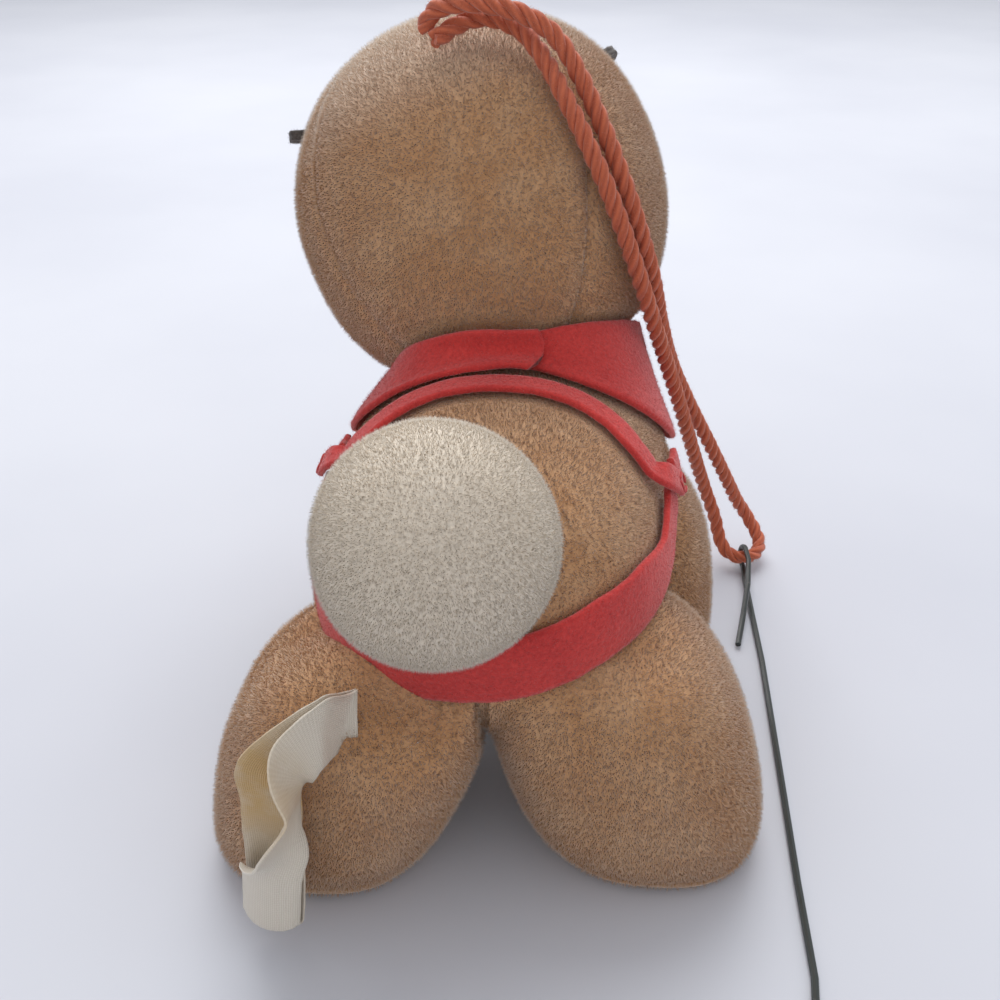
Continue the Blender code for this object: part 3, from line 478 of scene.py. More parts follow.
plies = nodes.out("GeometryNodeSetPosition",
                  {"Geometry": plies, "Offset": nodes.scaled(offset, given["Offset"])})
ring = nodes.out("GeometryNodeCurvePrimitiveCircle", {"Resolution": 9, "Radius": given["Ply Radius"]})
for axis in "XY":
    spot = nodes.out("ShaderNodeSeparateXYZ", {0: nodes.out("GeometryNodeInputPosition")}, axis)
    ring = nodes.stored(ring, "round_" + axis.lower(), spot)
swept = nodes.out("GeometryNodeCurveToMesh", {"Curve": plies, "Profile Curve": ring, "Fill Caps": True})
nodes.feed(result["Geometry"], nodes.finished(swept, given["Material"]))

# %% Finish of the cord
nodes, given, result = new_group("yarns on a ply", "ShaderNodeTree", {"Yarns": 7.0, "Yarn Pitch": 3.0 * MM},
                                 {"Height": "Float", "Shade": "Float"})
yarns = nodes.tree
angle = nodes.math("ARCTAN2", nodes.attribute("round_y"), nodes.attribute("round_x"))
angle = nodes.math("MULTIPLY", angle, given["Yarns"])
spin = nodes.math("DIVIDE", nodes.attribute("run"), given["Yarn Pitch"])
spin = nodes.math("MULTIPLY", spin, 2 * math.pi)
wave = nodes.math("SINE", nodes.math("SUBTRACT", angle, spin))
fine = nodes.math("MULTIPLY", nodes.noise(2600.0, 3.0), 0.5)
height = nodes.math("ADD", nodes.ranged(wave, -1.0, 1.0, 0.0, 0.6), fine)
nodes.feed(result["Height"], height)
nodes.feed(result["Shade"], nodes.ranged(height, 0.2, 0.9, 0.0, 1.0))

CORD_FINISH, nodes, shader = principled("orange_cord", 0.8, Sheen_Weight=0.3, Sheen_Roughness=0.5)
pattern = nodes.node("ShaderNodeGroup", {"Yarns": 4.0}, node_tree=yarns)
nodes.colour(shader, pattern.outputs["Shade"], (0.42, 0.085, 0.034), (0.58, 0.135, 0.056))
nodes.bump(shader, pattern.outputs["Height"], 0.07 * MM)

FUZZ_ORANGE = plush_finish("orange_fuzz", (0.48, 0.10, 0.04), (0.72, 0.22, 0.10), (0.72, 0.22, 0.10))


def fuzz(source, name, settings):
    """Loose fibres that stand out of a finished piece, as a piece of their own."""
    mesh = source.data.copy()
    count = len(mesh.vertices)
    write_attribute(mesh, "pile", np.ones(count))
    write_attribute(mesh, "height", np.ones(count))
    write_attribute(mesh, "nap", np.zeros((count, 3)), "FLOAT_VECTOR")
    piece = run_tree(add_object(name, mesh), pile, settings)
    with editing(piece.data) as bm:
        bm.verts.ensure_lookup_table()
        bmesh.ops.delete(bm, geom=bm.verts[:count], context="VERTS")
    return piece


# %% Make the cord
cord = on_lines("hanging_cord", [cord_path], twisted, {"Material": CORD_FINISH})
cord_fuzz = fuzz(cord, "cord_fuzz", {
    "Density": 5.0e6, "Length": 0.55 * MM, "Width": 0.05 * MM, "Stand": 0.45, "Lean": 0.0, "Tousle": 0.6,
    "Tousle Scale": 900.0, "Tuft": 0.0, "Stray": 0.7, "Seed": 3, "Material": FUZZ_ORANGE})
belongs(cord, "cord", ["cord_loop"])
belongs(cord_fuzz, "cord")

# %% [markdown]
# ## Stuffed forms as formulas
# Head, body, legs and tail are stuffed balls. Each is an ellipsoid with a power that makes it fuller, in
# a frame of its own. The formula gives the surface in any direction, tells inside from outside, and
# yields the normal, so straps and pile can follow it exactly. It works on whole arrays of points.


# %% Stuffed forms
def rotation(axis, degrees):
    return np.array(Matrix.Rotation(math.radians(degrees), 3, axis))


def unit(vectors):
    vectors = np.asarray(vectors, dtype=float)
    return vectors / np.linalg.norm(vectors, axis=-1, keepdims=True)


class Form:
    """A stuffed body. lean is the share of its height by which it shifts to -X on the way up."""

    def __init__(self, centre, radii, power=2.0, turn=None, lean=0.0):
        self.centre = np.array(centre, dtype=float)
        self.radii = np.array(radii, dtype=float)
        self.power = power
        self.turn = np.eye(3) if turn is None else turn
        self.lean = lean
        self.frame = self.turn @ np.array([[1, 0, -lean], [0, 1, 0], [0, 0, 1]])
        self.inverse = np.linalg.inv(self.frame)

    def local(self, points):
        return (np.asarray(points) - self.centre) @ self.inverse.T

    def level(self, points):
        return (np.abs(self.local(points) / self.radii) ** self.power).sum(-1)

    def normal(self, points):
        share = self.local(points) / self.radii
        slope = np.sign(share) * np.abs(share) ** (self.power - 1) / self.radii
        return unit(slope @ self.inverse)

    def surface(self, directions, out=0.0):
        directions = np.asarray(directions, dtype=float)
        level = (np.abs(directions / self.radii) ** self.power).sum(-1, keepdims=True)
        points = (directions * level ** (-1 / self.power)) @ self.frame.T + self.centre
        return points + self.normal(points) * out

    def toward(self, points, out=0.0):
        return self.surface(self.local(points), out)

    def grown(self, out):
        return Form(self.centre, self.radii + out, self.power, self.turn, self.lean)


def mm(*values):
    return np.array(values, dtype=float) * MM


def mirrored(point, side):
    return np.array([point[0] * side, point[1], point[2]], dtype=float)


HEAD_TURN = rotation("Y", -20.0)
HEAD = Form(mm(-6.3, 22.0, 70.3), mm(28.2, 27.6, 28.9), 2.12, HEAD_TURN)
MUZZLE = Form(HEAD.centre + HEAD.frame @ mm(0.0, 24.0, -6.0), mm(12.5, 12.0, 10.5), 2.1, HEAD_TURN)
TORSO = Form(mm(0.0, -11.0, 35.0), mm(24.5, 35.0, 21.6), 2.5, rotation("Z", -4.0))
TAIL = Form(mm(-4.9, -46.5, 54.6), mm(14.3, 14.3, 14.3))
HIND_Y = {"left": -39.2, "right": -34.2}
HIND = {name: Form(mm(18.6 * side, HIND_Y[name], 16.0), mm(17.6, 17.0, 22.5), 2.5, None, 0.3 * side)
        for name, side in SIDES}
FORE = {name: Form(mm(21.3 * side, 2.0, 17.0), mm(11.7, 12.3, 21.0), 2.5, None, 0.12 * side)
        for name, side in SIDES}
NECK_AXIS = unit(HEAD.centre - TORSO.centre)
print("head from", np.round(HEAD.surface(np.array([0, 0, -1.0])) / MM, 1))

# %% [markdown]
# ## The felt harness
# The straps and the collar are strips of red felt, cut with scissors and laid round the body. Each is a
# grid of points that follows its route over the formula of the body, with a little noise in the width for
# the hand-cut edge. A strip then gets its thickness and its softened edges. The straps come before the
# plush, because the pile is pressed down beneath them.

# %% Felt finish
nodes, given, result = new_group(
    "felt grain", "ShaderNodeTree",
    {"Dark": opaque((0.3, 0.02, 0.02)), "Light": opaque((0.6, 0.05, 0.05)), "Grain Scale": 1900.0,
     "Patch Scale": 90.0},
    {"Color": "Color", "Height": "Float"})
felt_grain = nodes.tree
grain = nodes.noise(given["Grain Scale"], 5.0, Roughness=0.65)
hairs = nodes.out("ShaderNodeTexVoronoi", {"Vector": nodes.place(), "Scale": given["Grain Scale"]})
patches = nodes.ranged(nodes.noise(given["Patch Scale"], 3.0), 0.35, 0.7, 0.0, 0.45)
shade = nodes.math("ADD", nodes.ranged(grain, 0.35, 0.7, 0.0, 0.7), patches)
nodes.feed(result["Color"], nodes.mixed(shade, given["Dark"], given["Light"]))
nodes.feed(result["Height"], nodes.math("ADD", grain, nodes.math("MULTIPLY", hairs, 0.3)))


def felt_finish(name, dark, light_colour):
    settings = {"Dark": opaque(dark), "Light": opaque(light_colour)}
    return patterned(name, 0.9, felt_grain, settings, 0.16 * MM, Sheen_Weight=0.35, Sheen_Roughness=0.45)


RED_FELT = felt_finish("red_felt", (0.46, 0.022, 0.022), (0.68, 0.05, 0.042))
DARK_FELT = felt_finish("dark_felt", (0.045, 0.038, 0.034), (0.13, 0.11, 0.098))
RED_FUZZ = plush_finish("red_fuzz", (0.50, 0.03, 0.028), (0.74, 0.085, 0.07), (0.74, 0.085, 0.07))
DARK_FUZZ = plush_finish("dark_fuzz", (0.05, 0.042, 0.038), (0.19, 0.165, 0.15), (0.19, 0.165, 0.15))

# %% Strips over the body
GAP = 0.3 * MM
FELT = 0.9 * MM
LAYER = FELT + GAP
STRAP_HALF = 1.9 * MM
HAUNCH_EXTRA = 2.4 * MM
CUT_WAVER = 0.16 * MM
BACK_ROUTE = [
    (0, -12, 57), (8, -13.2, 57), (14, -16, 55.3), (18.5, -19.6, 52.3), (21.7, -21, 49.2), (24, -17.5, 46),
]
BREECHING_ROUTE = [
    (-24.9, -18.5, 45), (-24.8, -24.5, 41.5), (-23.8, -30.5, 37.5), (-20, -37.5, 35.4), (-12, -43.5, 35.2),
    (0, -46.5, 36), (9, -45, 38.2), (14, -42.5, 39.6), (19, -37.5, 40.3), (23, -29.5, 41.3),
    (23.8, -24, 44.2), (24, -18.5, 45.8),
]
LINK_ROUTE = [(25.8, -7.4, 44.7), (25.6, -10.2, 45), (24.8, -13.0, 45.6)]


def ease(value, low, high):
    t = np.clip((value - low) / (high - low), 0.0, 1.0)
    return t * t * (3 - 2 * t)


def uneven(points, scale, seed):
    """Smooth noise from about -1 to 1 at each point."""
    shift = Vector((seed * 7.3, seed * 3.1, seed * 5.7))
    return np.array([noise.noise(Vector(p) * scale + shift) for p in points])


def over_torso(route, half_width, height, samples, columns, seed):
    """Rows of points for a strip on the body. Half width and height are numbers or change along it."""
    line = np.array(in_metres(route, samples))
    share = np.linspace(0.0, 1.0, len(line))
    half, out = (value(share) if callable(value) else np.full(len(line), value)
                 for value in (half_width, height))
    base = np.array([TORSO.toward(p, h) for p, h in zip(line, out)])
    across = unit(np.cross(TORSO.normal(base), np.gradient(line, axis=0)))
    sides = np.linspace(-1.0, 1.0, columns)
    edges = [half + CUT_WAVER * uneven(line, 420.0, seed + k) for k in range(2)]
    rows = []
    for i in range(len(line)):
        reach = [edges[0][i] if s < 0 else edges[1][i] for s in sides]
        points = base[i] + across[i] * (sides * reach)[:, None]
        rows.append(TORSO.toward(points, out[i]))
    return np.array(rows)


def felt_strip(name, rows, inside, finish=RED_FELT, thickness=FELT):
    """A strip through rows of points, its underside on them and facing the place inside."""
    count = len(rows)
    along = np.gradient(rows, axis=0)
    across = np.gradient(rows, axis=1)
    normals = unit(np.cross(along, across))
    if np.dot(normals[count // 2, 2], rows[count // 2, 2] - inside) < 0:
        rows, normals, across = rows[:, ::-1], normals[:, ::-1] * -1, across[:, ::-1] * -1
    inward = unit(across) * thickness

    def edge(k, way, up, back):
        return (rows[:, k] + normals[:, k] * thickness * up - way * inward[:, k] * back)[:, None]

    top = rows + normals * thickness
    under = rows.copy()
    for layer, bevel in ((top, 0.28), (under, 0.15)):
        layer[:, 0] += inward[:, 0] * bevel
        layer[:, -1] -= inward[:, -1] * bevel
    section = np.concatenate([top, edge(-1, 1, 0.72, 0.05), edge(-1, 1, 0.25, 0.02), under[:, ::-1],
                              edge(0, -1, 0.25, 0.02), edge(0, -1, 0.72, 0.05)], axis=1)
    around = section.shape[1]
    faces = []
    for i in range(count - 1):
        for j in range(around):
            k = (j + 1) % around
            faces.append((i * around + j, i * around + k, (i + 1) * around + k, (i + 1) * around + j))
    points = section.reshape(-1, 3)
    centre = section[count // 2].mean(0)
    a, b, c = (points[i] for i in faces[(count // 2) * around][:3])
    if np.dot(np.cross(b - a, c - a), a - centre) < 0:
        faces = [f[::-1] for f in faces]
    strip = new_piece(name, points, faces)
    with editing(strip.data) as bm:
        bmesh.ops.holes_fill(bm, edges=[e for e in bm.edges if e.is_boundary])
        bmesh.ops.recalc_face_normals(bm, faces=bm.faces)
    strip.data.materials.append(finish)
    points = of_points(strip.data, "co")
    lumps = 0.08 * MM * uneven(points, 600.0, 3)
    move_to(strip.data, points + of_points(strip.data, "normal") * lumps[:, None])
    return strip


def both_sides(route):
    return [(-x, y, z) for x, y, z in reversed(route[1:])] + list(route)


def back_height(share):
    """The ends of the back strap lie on those of the breeching strap."""
    return GAP + LAYER * ease(np.abs(share - 0.5), 0.36, 0.43)


def breeching_half(share):
    """Narrow at the flanks and wide round the haunches."""
    from_end = 0.5 - np.abs(share - 0.5)
    return STRAP_HALF + HAUNCH_EXTRA * ease(from_end, 0.1, 0.26)


STRIPS = [("back_strap_felt", "back_strap", both_sides(BACK_ROUTE), STRAP_HALF, back_height, 8, 7, 1),
          ("breeching_felt", "breeching_strap", BREECHING_ROUTE, breeching_half, GAP, 9, 11, 3)]
STRIPS += [("collar_link_felt_" + name, "collar_link_" + name, [(x * side, y, z) for x, y, z in LINK_ROUTE],
            STRAP_HALF, GAP, 9, 7, 5) for name, side in SIDES]
straps = {node: felt_strip(name, over_torso(*how), TORSO.centre) for name, node, *how in STRIPS}
print("straps:", list(straps))

# %% [markdown]
# ## The collar
# The collar is a felt band round the neck. Its edges are found by rays from the middle of the neck,
# which end where they leave head and body. The ends lap over each other at the nape. The tilts are the
# angles, in degrees, of the edge at the head and the edge at the body, at three places round the neck.

# %% Collar
COLLAR_TILTS = {"nape": (2.0, -21.0), "side": (15.0, -25.0), "throat": (24.0, 2.0)}
COLLAR_SKEW = 8.0
COLLAR_TUCK = 14.0
COLLAR_TUCK_ANGLE = math.radians(95.0)
COLLAR_LAP = math.radians(38.0)
COLLAR_END = math.radians(22.0)
COLLAR_TAPER = math.radians(1.6)
COLLAR_STEPS = 132
COLLAR_COLUMNS = 12
COLLAR_SMOOTHINGS = 14
NECK_CENTRE = mm(0.5, 7.0, 51.0)


def ray_exit(way, reach=45 * MM, steps=360):
    """Where a ray from inside the neck finally leaves both head and torso."""
    runs = np.linspace(0.0, reach, steps + 1)
    points = NECK_CENTRE + way * runs[:, None]
    inside = np.minimum(HEAD.level(points), TORSO.level(points)) < 1.0
    return points[np.flatnonzero(inside)[-1]]


def pushed_clear(points, out):
    """The points, moved out where they lie closer than out to the head or the torso."""
    points = points.copy()
    for form in (HEAD, TORSO):
        near = form.grown(out).level(points) < 1.0
        points[near] = form.toward(points[near], out)
    return points


def collar_tilt(angle, row):
    nape, side, throat = (COLLAR_TILTS[k][row] for k in ("nape", "side", "throat"))
    middle = (nape + throat) / 2
    tilt = (middle + side) / 2 + (nape - throat) / 2 * math.cos(angle)
    tilt += (middle - side) / 2 * math.cos(2 * angle)
    if row == 0:
        tilt -= COLLAR_SKEW * math.sin(angle)
        tilt -= COLLAR_TUCK * max(0.0, math.cos(angle - COLLAR_TUCK_ANGLE)) ** 3
    return math.radians(tilt)


side_axis = np.array([1.0, 0.0, 0.0])
nape_axis = unit(np.cross(NECK_AXIS, side_axis))
nape_axis = -nape_axis if nape_axis[1] > 0 else nape_axis
lap = COLLAR_LAP / (2 * math.pi)
collar_rows = []
lifts = []
for i in range(COLLAR_STEPS + 1):
    share = i / COLLAR_STEPS
    angle = COLLAR_END - share * (2 * math.pi + COLLAR_LAP)
    lifts.append(GAP + LAYER * float(ease(share, 1 - 1.9 * lap, 1 - 1.05 * lap)))
    ring_way = nape_axis * math.cos(angle) - side_axis * math.sin(angle)
    narrower = COLLAR_TAPER * float(1 - ease(share, 0.6 * lap, 1.4 * lap))
    edges = []
    for row, way in ((0, -1), (1, 1)):
        tilt = collar_tilt(angle, row) + way * narrower
        edges.append(ray_exit(ring_way * math.cos(tilt) + NECK_AXIS * math.sin(tilt)))
    shares = np.linspace(0.0, 1.0, COLLAR_COLUMNS)[:, None]
    collar_rows.append(pushed_clear(edges[0] * (1 - shares) + edges[1] * shares, lifts[-1]))
collar_rows = np.array(collar_rows)
for _ in range(COLLAR_SMOOTHINGS):
    eased = collar_rows.copy()
    eased[1:-1] = (collar_rows[:-2] + collar_rows[2:] + 2 * collar_rows[1:-1]) / 4
    eased[:, 1:-1] = (eased[:, :-2] + eased[:, 2:] + 2 * eased[:, 1:-1]) / 4
    collar_rows = np.array([pushed_clear(row, lift) for row, lift in zip(eased, lifts)])
straps["collar"] = felt_strip("collar_felt", collar_rows, NECK_CENTRE)

# %% [markdown]
# ## Fuzz on the felt
# Felt has no weave. Its fibres are matted, and some stand up from the face and all along a cut edge.
# The same pile tree grows them, thin, short and in every direction.

# %% Fuzz of the harness
FELT_FUZZ = {"Density": 6.0e6, "Length": 0.55 * MM, "Width": 0.045 * MM, "Stand": 0.4, "Lean": 0.0,
             "Tousle": 0.8, "Tousle Scale": 800.0, "Tuft": 0.0, "Stray": 0.75}
for node, piece in straps.items():
    belongs(piece, "body", [node])
    hairs = fuzz(piece, piece.name + "_fuzz", {**FELT_FUZZ, "Seed": 7, "Material": RED_FUZZ})
    belongs(hairs, "body")

# %% [markdown]
# ## Skins of plush
# A skin starts as a cube whose faces are divided and pushed onto the stuffed form, so its faces are even
# and it has no poles. It lies a little inside the solid's surface, because the pile fills the rest. Where
# it meets a neighbour it gives way, as stuffing does.

# %% Cloth for the skins
PILE_ROOM = 0.7 * MM
WALL = 0.45 * MM
DEEP = 2.6 * MM
NEIGHBOUR_GAP = 0.2 * MM
CREASE_REACH = 1.3 * MM


def taken(bm):
    """The points and faces of a BMesh, which is then freed."""
    points = np.array([v.co[:] for v in bm.verts])
    faces = [[v.index for v in f.verts] for f in bm.faces]
    bm.free()
    return points, faces


def cube_ball(cuts):
    """Unit points and four-sided faces of an even ball."""
    bm = bmesh.new()
    bmesh.ops.create_cube(bm, size=2.0)
    bmesh.ops.subdivide_edges(bm, edges=bm.edges[:], cuts=cuts, use_grid_fill=True)
    points, faces = taken(bm)
    return unit(np.tan(points * math.pi / 4)), faces


def skin(form, cuts, room=PILE_ROOM):
    """An even ball of cloth, a little inside the surface of a stuffed form."""
    ball, faces = cube_ball(cuts)
    return form.surface(ball * form.radii, -room), faces


def lumpy(points, form, depth, scale, seed):
    """The cloth with the soft lumps of the stuffing under it."""
    return points + form.normal(points) * (depth * uneven(points, scale, seed))[:, None]


def push_out(points, form, gap):
    """Points that lie inside a neighbour give way to just above its surface."""
    inside = form.grown(gap).level(points) < 1.0
    points = points.copy()
    points[inside] = form.toward(points[inside], gap)
    return points


def cut_cloth(points, faces, planes):
    """The same cloth with edges where planes cross it. A plane is a place and a normal."""
    bm = bmesh.new()
    corners = [bm.verts.new(p) for p in points]
    for face in faces:
        bm.faces.new([corners[i] for i in face])
    for spot, normal_way in planes:
        everything = bm.verts[:] + bm.edges[:] + bm.faces[:]
        bmesh.ops.bisect_plane(bm, geom=everything, dist=1e-7, plane_co=spot, plane_no=normal_way)
    bm.verts.index_update()
    return taken(bm)


def creased(distance):
    """How far a seam draws the cloth in, from 1 at the seam to 0 away from it."""
    return np.exp(-(distance / CREASE_REACH) ** 2)


def part_of(points, faces, chosen):
    """Only the faces whose centre passes a test, with their own points."""
    centres = np.array([points[f].mean(0) for f in faces])
    kept = [f for f, yes in zip(faces, chosen(centres)) if yes]
    used = sorted({i for f in kept for i in f})
    new = {old: i for i, old in enumerate(used)}
    return points[used], [[new[i] for i in f] for f in kept]


def walled(points, faces, thickness):
    """Closes an open sheet of cloth with an inner side and a rim. The outer points stay first."""
    normals = np.zeros_like(points)
    for f in faces:
        a, b, c = points[f[0]], points[f[1]], points[f[2]]
        normals[list(f)] += np.cross(b - a, c - a)
    inner = points - unit(normals) * thickness
    count = len(points)
    directed = {(f[i], f[(i + 1) % len(f)]) for f in faces for i in range(len(f))}
    rim = [(b, a, a + count, b + count) for a, b in directed if (b, a) not in directed]
    inside = [[i + count for i in reversed(f)] for f in faces]
    return np.vstack([points, inner]), list(faces) + inside + sorted(rim)


# %% [markdown]
# ## Where the pile grows
# The pile needs three values at each point of the cloth: "pile" is 0 where a neighbour hides the cloth,
# "height" is less than 1 beneath and beside the straps and in a seam, and "nap" is the way the pile was
# brushed. The baked picture of a piece needs room for every fibre too, so a map gives each fibre a cell
# of its own, with its tip at the cell's top.

# %% Plush pieces
FIBRE_CORNERS = 12
CLOTH_STRIP = 0.14
FIBRE_AREA = 0.84
PRESSED_NEAR = 1.3 * MM
PRESSED_FAR = 2.7 * MM
PLUSH_PILE = {"Density": 12.0e6, "Length": 1.0 * MM, "Width": 0.11 * MM, "Stand": 1.0, "Lean": 0.3,
              "Tousle": 0.6, "Tousle Scale": 260.0, "Tuft": 0.15, "Tuft Scale": 900.0, "Stray": 0.4}
strap_trees = [BVHTree.FromPolygons([v.co[:] for v in piece.data.vertices],
                                    [p.vertices[:] for p in piece.data.polygons])
               for piece in straps.values()]


def strap_distance(points, limit=4 * MM):
    distances = np.full(len(points), limit)
    for i, point in enumerate(points):
        for tree in strap_trees:
            found = tree.find_nearest(Vector(point), limit)
            if found[0] is not None:
                distances[i] = min(distances[i], found[3])
    return distances


def read_all(items, field, data_type, width=1):
    """One field of all the items of a mesh, as an array."""
    values = np.empty(len(items) * width, dtype=data_type)
    items.foreach_get(field, values)
    return values.reshape(-1, width) if width > 1 else values


def bake_map(mesh, cloth_points):
    """A map with one cell for each fibre, and the cloth in a strip above the cells."""
    corners = read_all(mesh.loops, "vertex_index", np.int32)
    starts = read_all(mesh.polygons, "loop_start", np.int32)
    places = read_all(mesh.vertices, "co", np.float32, 3)
    normals = read_all(mesh.polygons, "normal", np.float32, 3)
    first_fibre = int(np.argmax(corners[starts] >= cloth_points))
    cloth_corners = starts[first_fibre]
    uv = np.zeros((len(mesh.loops), 2), dtype=np.float32)
    low, high = places[:cloth_points].min(0), places[:cloth_points].max(0)
    flat = (places[corners[:cloth_corners]] - low) / (high - low)
    polygon = np.repeat(np.arange(first_fibre), np.diff(np.append(starts[:first_fibre], cloth_corners)))
    facing = normals[polygon, 1] > 0
    uv[:cloth_corners, 0] = flat[:, 0] * CLOTH_STRIP + 0.01 + facing * (CLOTH_STRIP + 0.03)
    uv[:cloth_corners, 1] = 0.99 - CLOTH_STRIP + flat[:, 2] * CLOTH_STRIP
    fibres = (len(mesh.loops) - cloth_corners) // FIBRE_CORNERS
    columns = math.ceil(math.sqrt(fibres / FIBRE_AREA))
    rows = math.ceil(fibres / columns)
    index = np.arange(fibres)
    cell_size = np.array([1 / columns, FIBRE_AREA / rows])
    origin = np.stack([index % columns, index // columns], 1) * cell_size
    cells = origin[:, None, :] + fibre_cell(corners[cloth_corners:])[None] * cell_size
    uv[cloth_corners:cloth_corners + fibres * FIBRE_CORNERS] = cells.reshape(-1, 2)
    layer = mesh.uv_layers.new(name="OFBake")
    layer.uv.foreach_set("vector", uv.ravel())


def fibre_cell(corners):
    """Places of the first fibre's corners in its cell. Point 0 of a fibre is its tip."""
    pattern = corners[:FIBRE_CORNERS] - corners.min()
    cell = np.zeros((FIBRE_CORNERS, 2))
    for triangle in range(4):
        names = pattern[triangle * 3:triangle * 3 + 3]
        if 0 in names:
            left = 0.06 + triangle * 0.3
            spots = {0: (left + 0.13, 0.95)}
            low = [n for n in names if n != 0]
            spots[low[0]] = (left, 0.22)
            spots[low[1]] = (left + 0.26, 0.22)
        else:
            spots = {names[0]: (0.1, 0.05), names[1]: (0.9, 0.05), names[2]: (0.5, 0.15)}
        for k, corner in enumerate(names):
            cell[triangle * 3 + k] = spots[corner]
    return cell


def grow_pile(name, points, faces, outer, hidden, brushed, finish, settings, seam_height=1.0, pressed=True):
    """A plush piece. The first outer points carry pile, except where hidden says they are covered."""
    piece = new_piece(name, points, faces)
    mesh = piece.data
    mesh.materials.append(finish)
    count = len(points)
    mask = np.zeros(count)
    mask[:outer] = 1.0
    mask[hidden] = 0.0
    height = np.ones(count)
    if pressed:
        height[:outer] = 0.5 + 0.5 * ease(strap_distance(points[:outer]), PRESSED_NEAR, PRESSED_FAR)
    height[:outer] *= seam_height
    normals = of_points(mesh, "normal")
    brushed = np.asarray(brushed, dtype=float)
    nap = brushed - normals * (normals * brushed).sum(-1, keepdims=True)
    write_attribute(mesh, "pile", mask)
    write_attribute(mesh, "height", height)
    write_attribute(mesh, "nap", nap, "FLOAT_VECTOR")
    write_attribute(mesh, "along", np.full(count, 0.6))
    write_attribute(mesh, "tone", np.full(count, 0.4))
    run_tree(piece, pile, {**PLUSH_PILE, **settings, "Material": finish})
    for unused in ("pile", "height", "nap"):
        if unused in piece.data.attributes:
            piece.data.attributes.remove(piece.data.attributes[unused])
    bake_map(piece.data, count)
    return piece


# %% [markdown]
# ## The head
# The ball of the head is sewn from three gores, which meet on an axis that comes out at the nape and
# above the brow. The seams sink in a little, and their pile is shorter, so they show as soft creases.

# %% Head
SEAM_AXIS = unit([0.243, -0.488, -0.836])
SEAM_POINTS = [(0.59, -0.73, 0.34), (-0.74, -0.67, 0.02), (0.07, 0.97, -0.22)]
SEAM_DEPTH = 0.55 * MM
seam_ways = [unit(np.array(p) - SEAM_AXIS * np.dot(p, SEAM_AXIS)) for p in SEAM_POINTS]
seam_normals = [np.cross(SEAM_AXIS, w) for w in seam_ways]
SEAM_PILE = 0.75
DIMPLE_RADIUS = 2.4 * MM
DIMPLE_DEPTH = 1.3 * MM
BARE_AT_CORD = 3.0 * MM


def seam_distance(points):
    """Distance of each point to the nearest of the head's three seams."""
    offset = points - HEAD.centre
    nearest = np.full(len(points), 1.0)
    for way_out, normal_way in zip(seam_ways, seam_normals):
        distance = np.where(offset @ way_out > -0.2 * MM, np.abs(offset @ normal_way), 1.0)
        nearest = np.minimum(nearest, distance)
    return nearest


def gore_of(points):
    """Number of the gore that each point lies in."""
    offset = points - HEAD.centre
    first, second = seam_ways[0], seam_normals[0]
    angles = np.arctan2(offset @ second, offset @ first) % (2 * math.pi)
    bounds = sorted(math.atan2(w @ second, w @ first) % (2 * math.pi) for w in seam_ways)
    return np.searchsorted(bounds, angles, side="right") % 3


head_points, head_faces = skin(HEAD, 40)
head_points, head_faces = cut_cloth(head_points, head_faces, [(HEAD.centre, n) for n in seam_normals])
lumps = 0.3 * MM * uneven(head_points, 70.0, 2)
crease = SEAM_DEPTH * creased(seam_distance(head_points))
head_points = head_points + HEAD.normal(head_points) * (lumps - crease)[:, None]
head_points = push_out(head_points, TORSO, NEIGHBOUR_GAP)
from_cord = np.linalg.norm(head_points - cord_path[0], axis=1)
dimple = DIMPLE_DEPTH * np.exp(-(from_cord / DIMPLE_RADIUS) ** 4)
head_points = head_points - HEAD.normal(head_points) * dimple[:, None]
for number, letter in enumerate("abc"):
    points, faces = part_of(head_points, head_faces, lambda c: gore_of(c) == number)
    outer = len(points)
    hidden = np.linalg.norm(points - cord_path[0], axis=1) < BARE_AT_CORD
    for form in (HEAD, MUZZLE):
        hidden |= form.grown(-DEEP).level(points) < 1.0
    seam_height = SEAM_PILE + (1 - SEAM_PILE) * ease(seam_distance(points), 0.3 * MM, 1.6 * MM)
    points, faces = walled(points, faces, WALL)
    piece = grow_pile("head_plush_" + letter, points, faces, outer, np.flatnonzero(hidden), (0, 0, -1),
                      TAN_PLUSH, {"Seed": 20 + number}, seam_height)
    belongs(piece, "body", ["head_skin"])

# %% [markdown]
# ## The body
# The back is tan and the chest and belly are white, with a seam between them along the flanks.

# %% Body
BELLY_EDGE = mm(0.0, -7.0, 35.0)
BELLY_CREASE = 0.5 * MM
BACK_DENSITY = 11.0e6
BELLY_DENSITY = 8.0e6
TAIL_RING = 0.9 * MM
belly_normal = rotation("X", 38.0) @ np.array([0.0, 0.0, 1.0])
torso_points, torso_faces = skin(TORSO, 38)
torso_points, torso_faces = cut_cloth(torso_points, torso_faces, [(BELLY_EDGE, belly_normal)])
lumps = 0.25 * MM * uneven(torso_points, 80.0, 5)
crease = BELLY_CREASE * creased(np.abs((torso_points - BELLY_EDGE) @ belly_normal))
torso_points = torso_points + TORSO.normal(torso_points) * (lumps - crease)[:, None]
covers = [HEAD, TAIL.grown(DEEP + TAIL_RING), *HIND.values(), *FORE.values()]


def covered(points):
    """Numbers of the points that lie well inside a neighbour of the body."""
    inside = np.zeros(len(points), dtype=bool)
    for form in covers:
        inside |= form.grown(-DEEP).level(points) < 1.0
    return np.flatnonzero(inside)


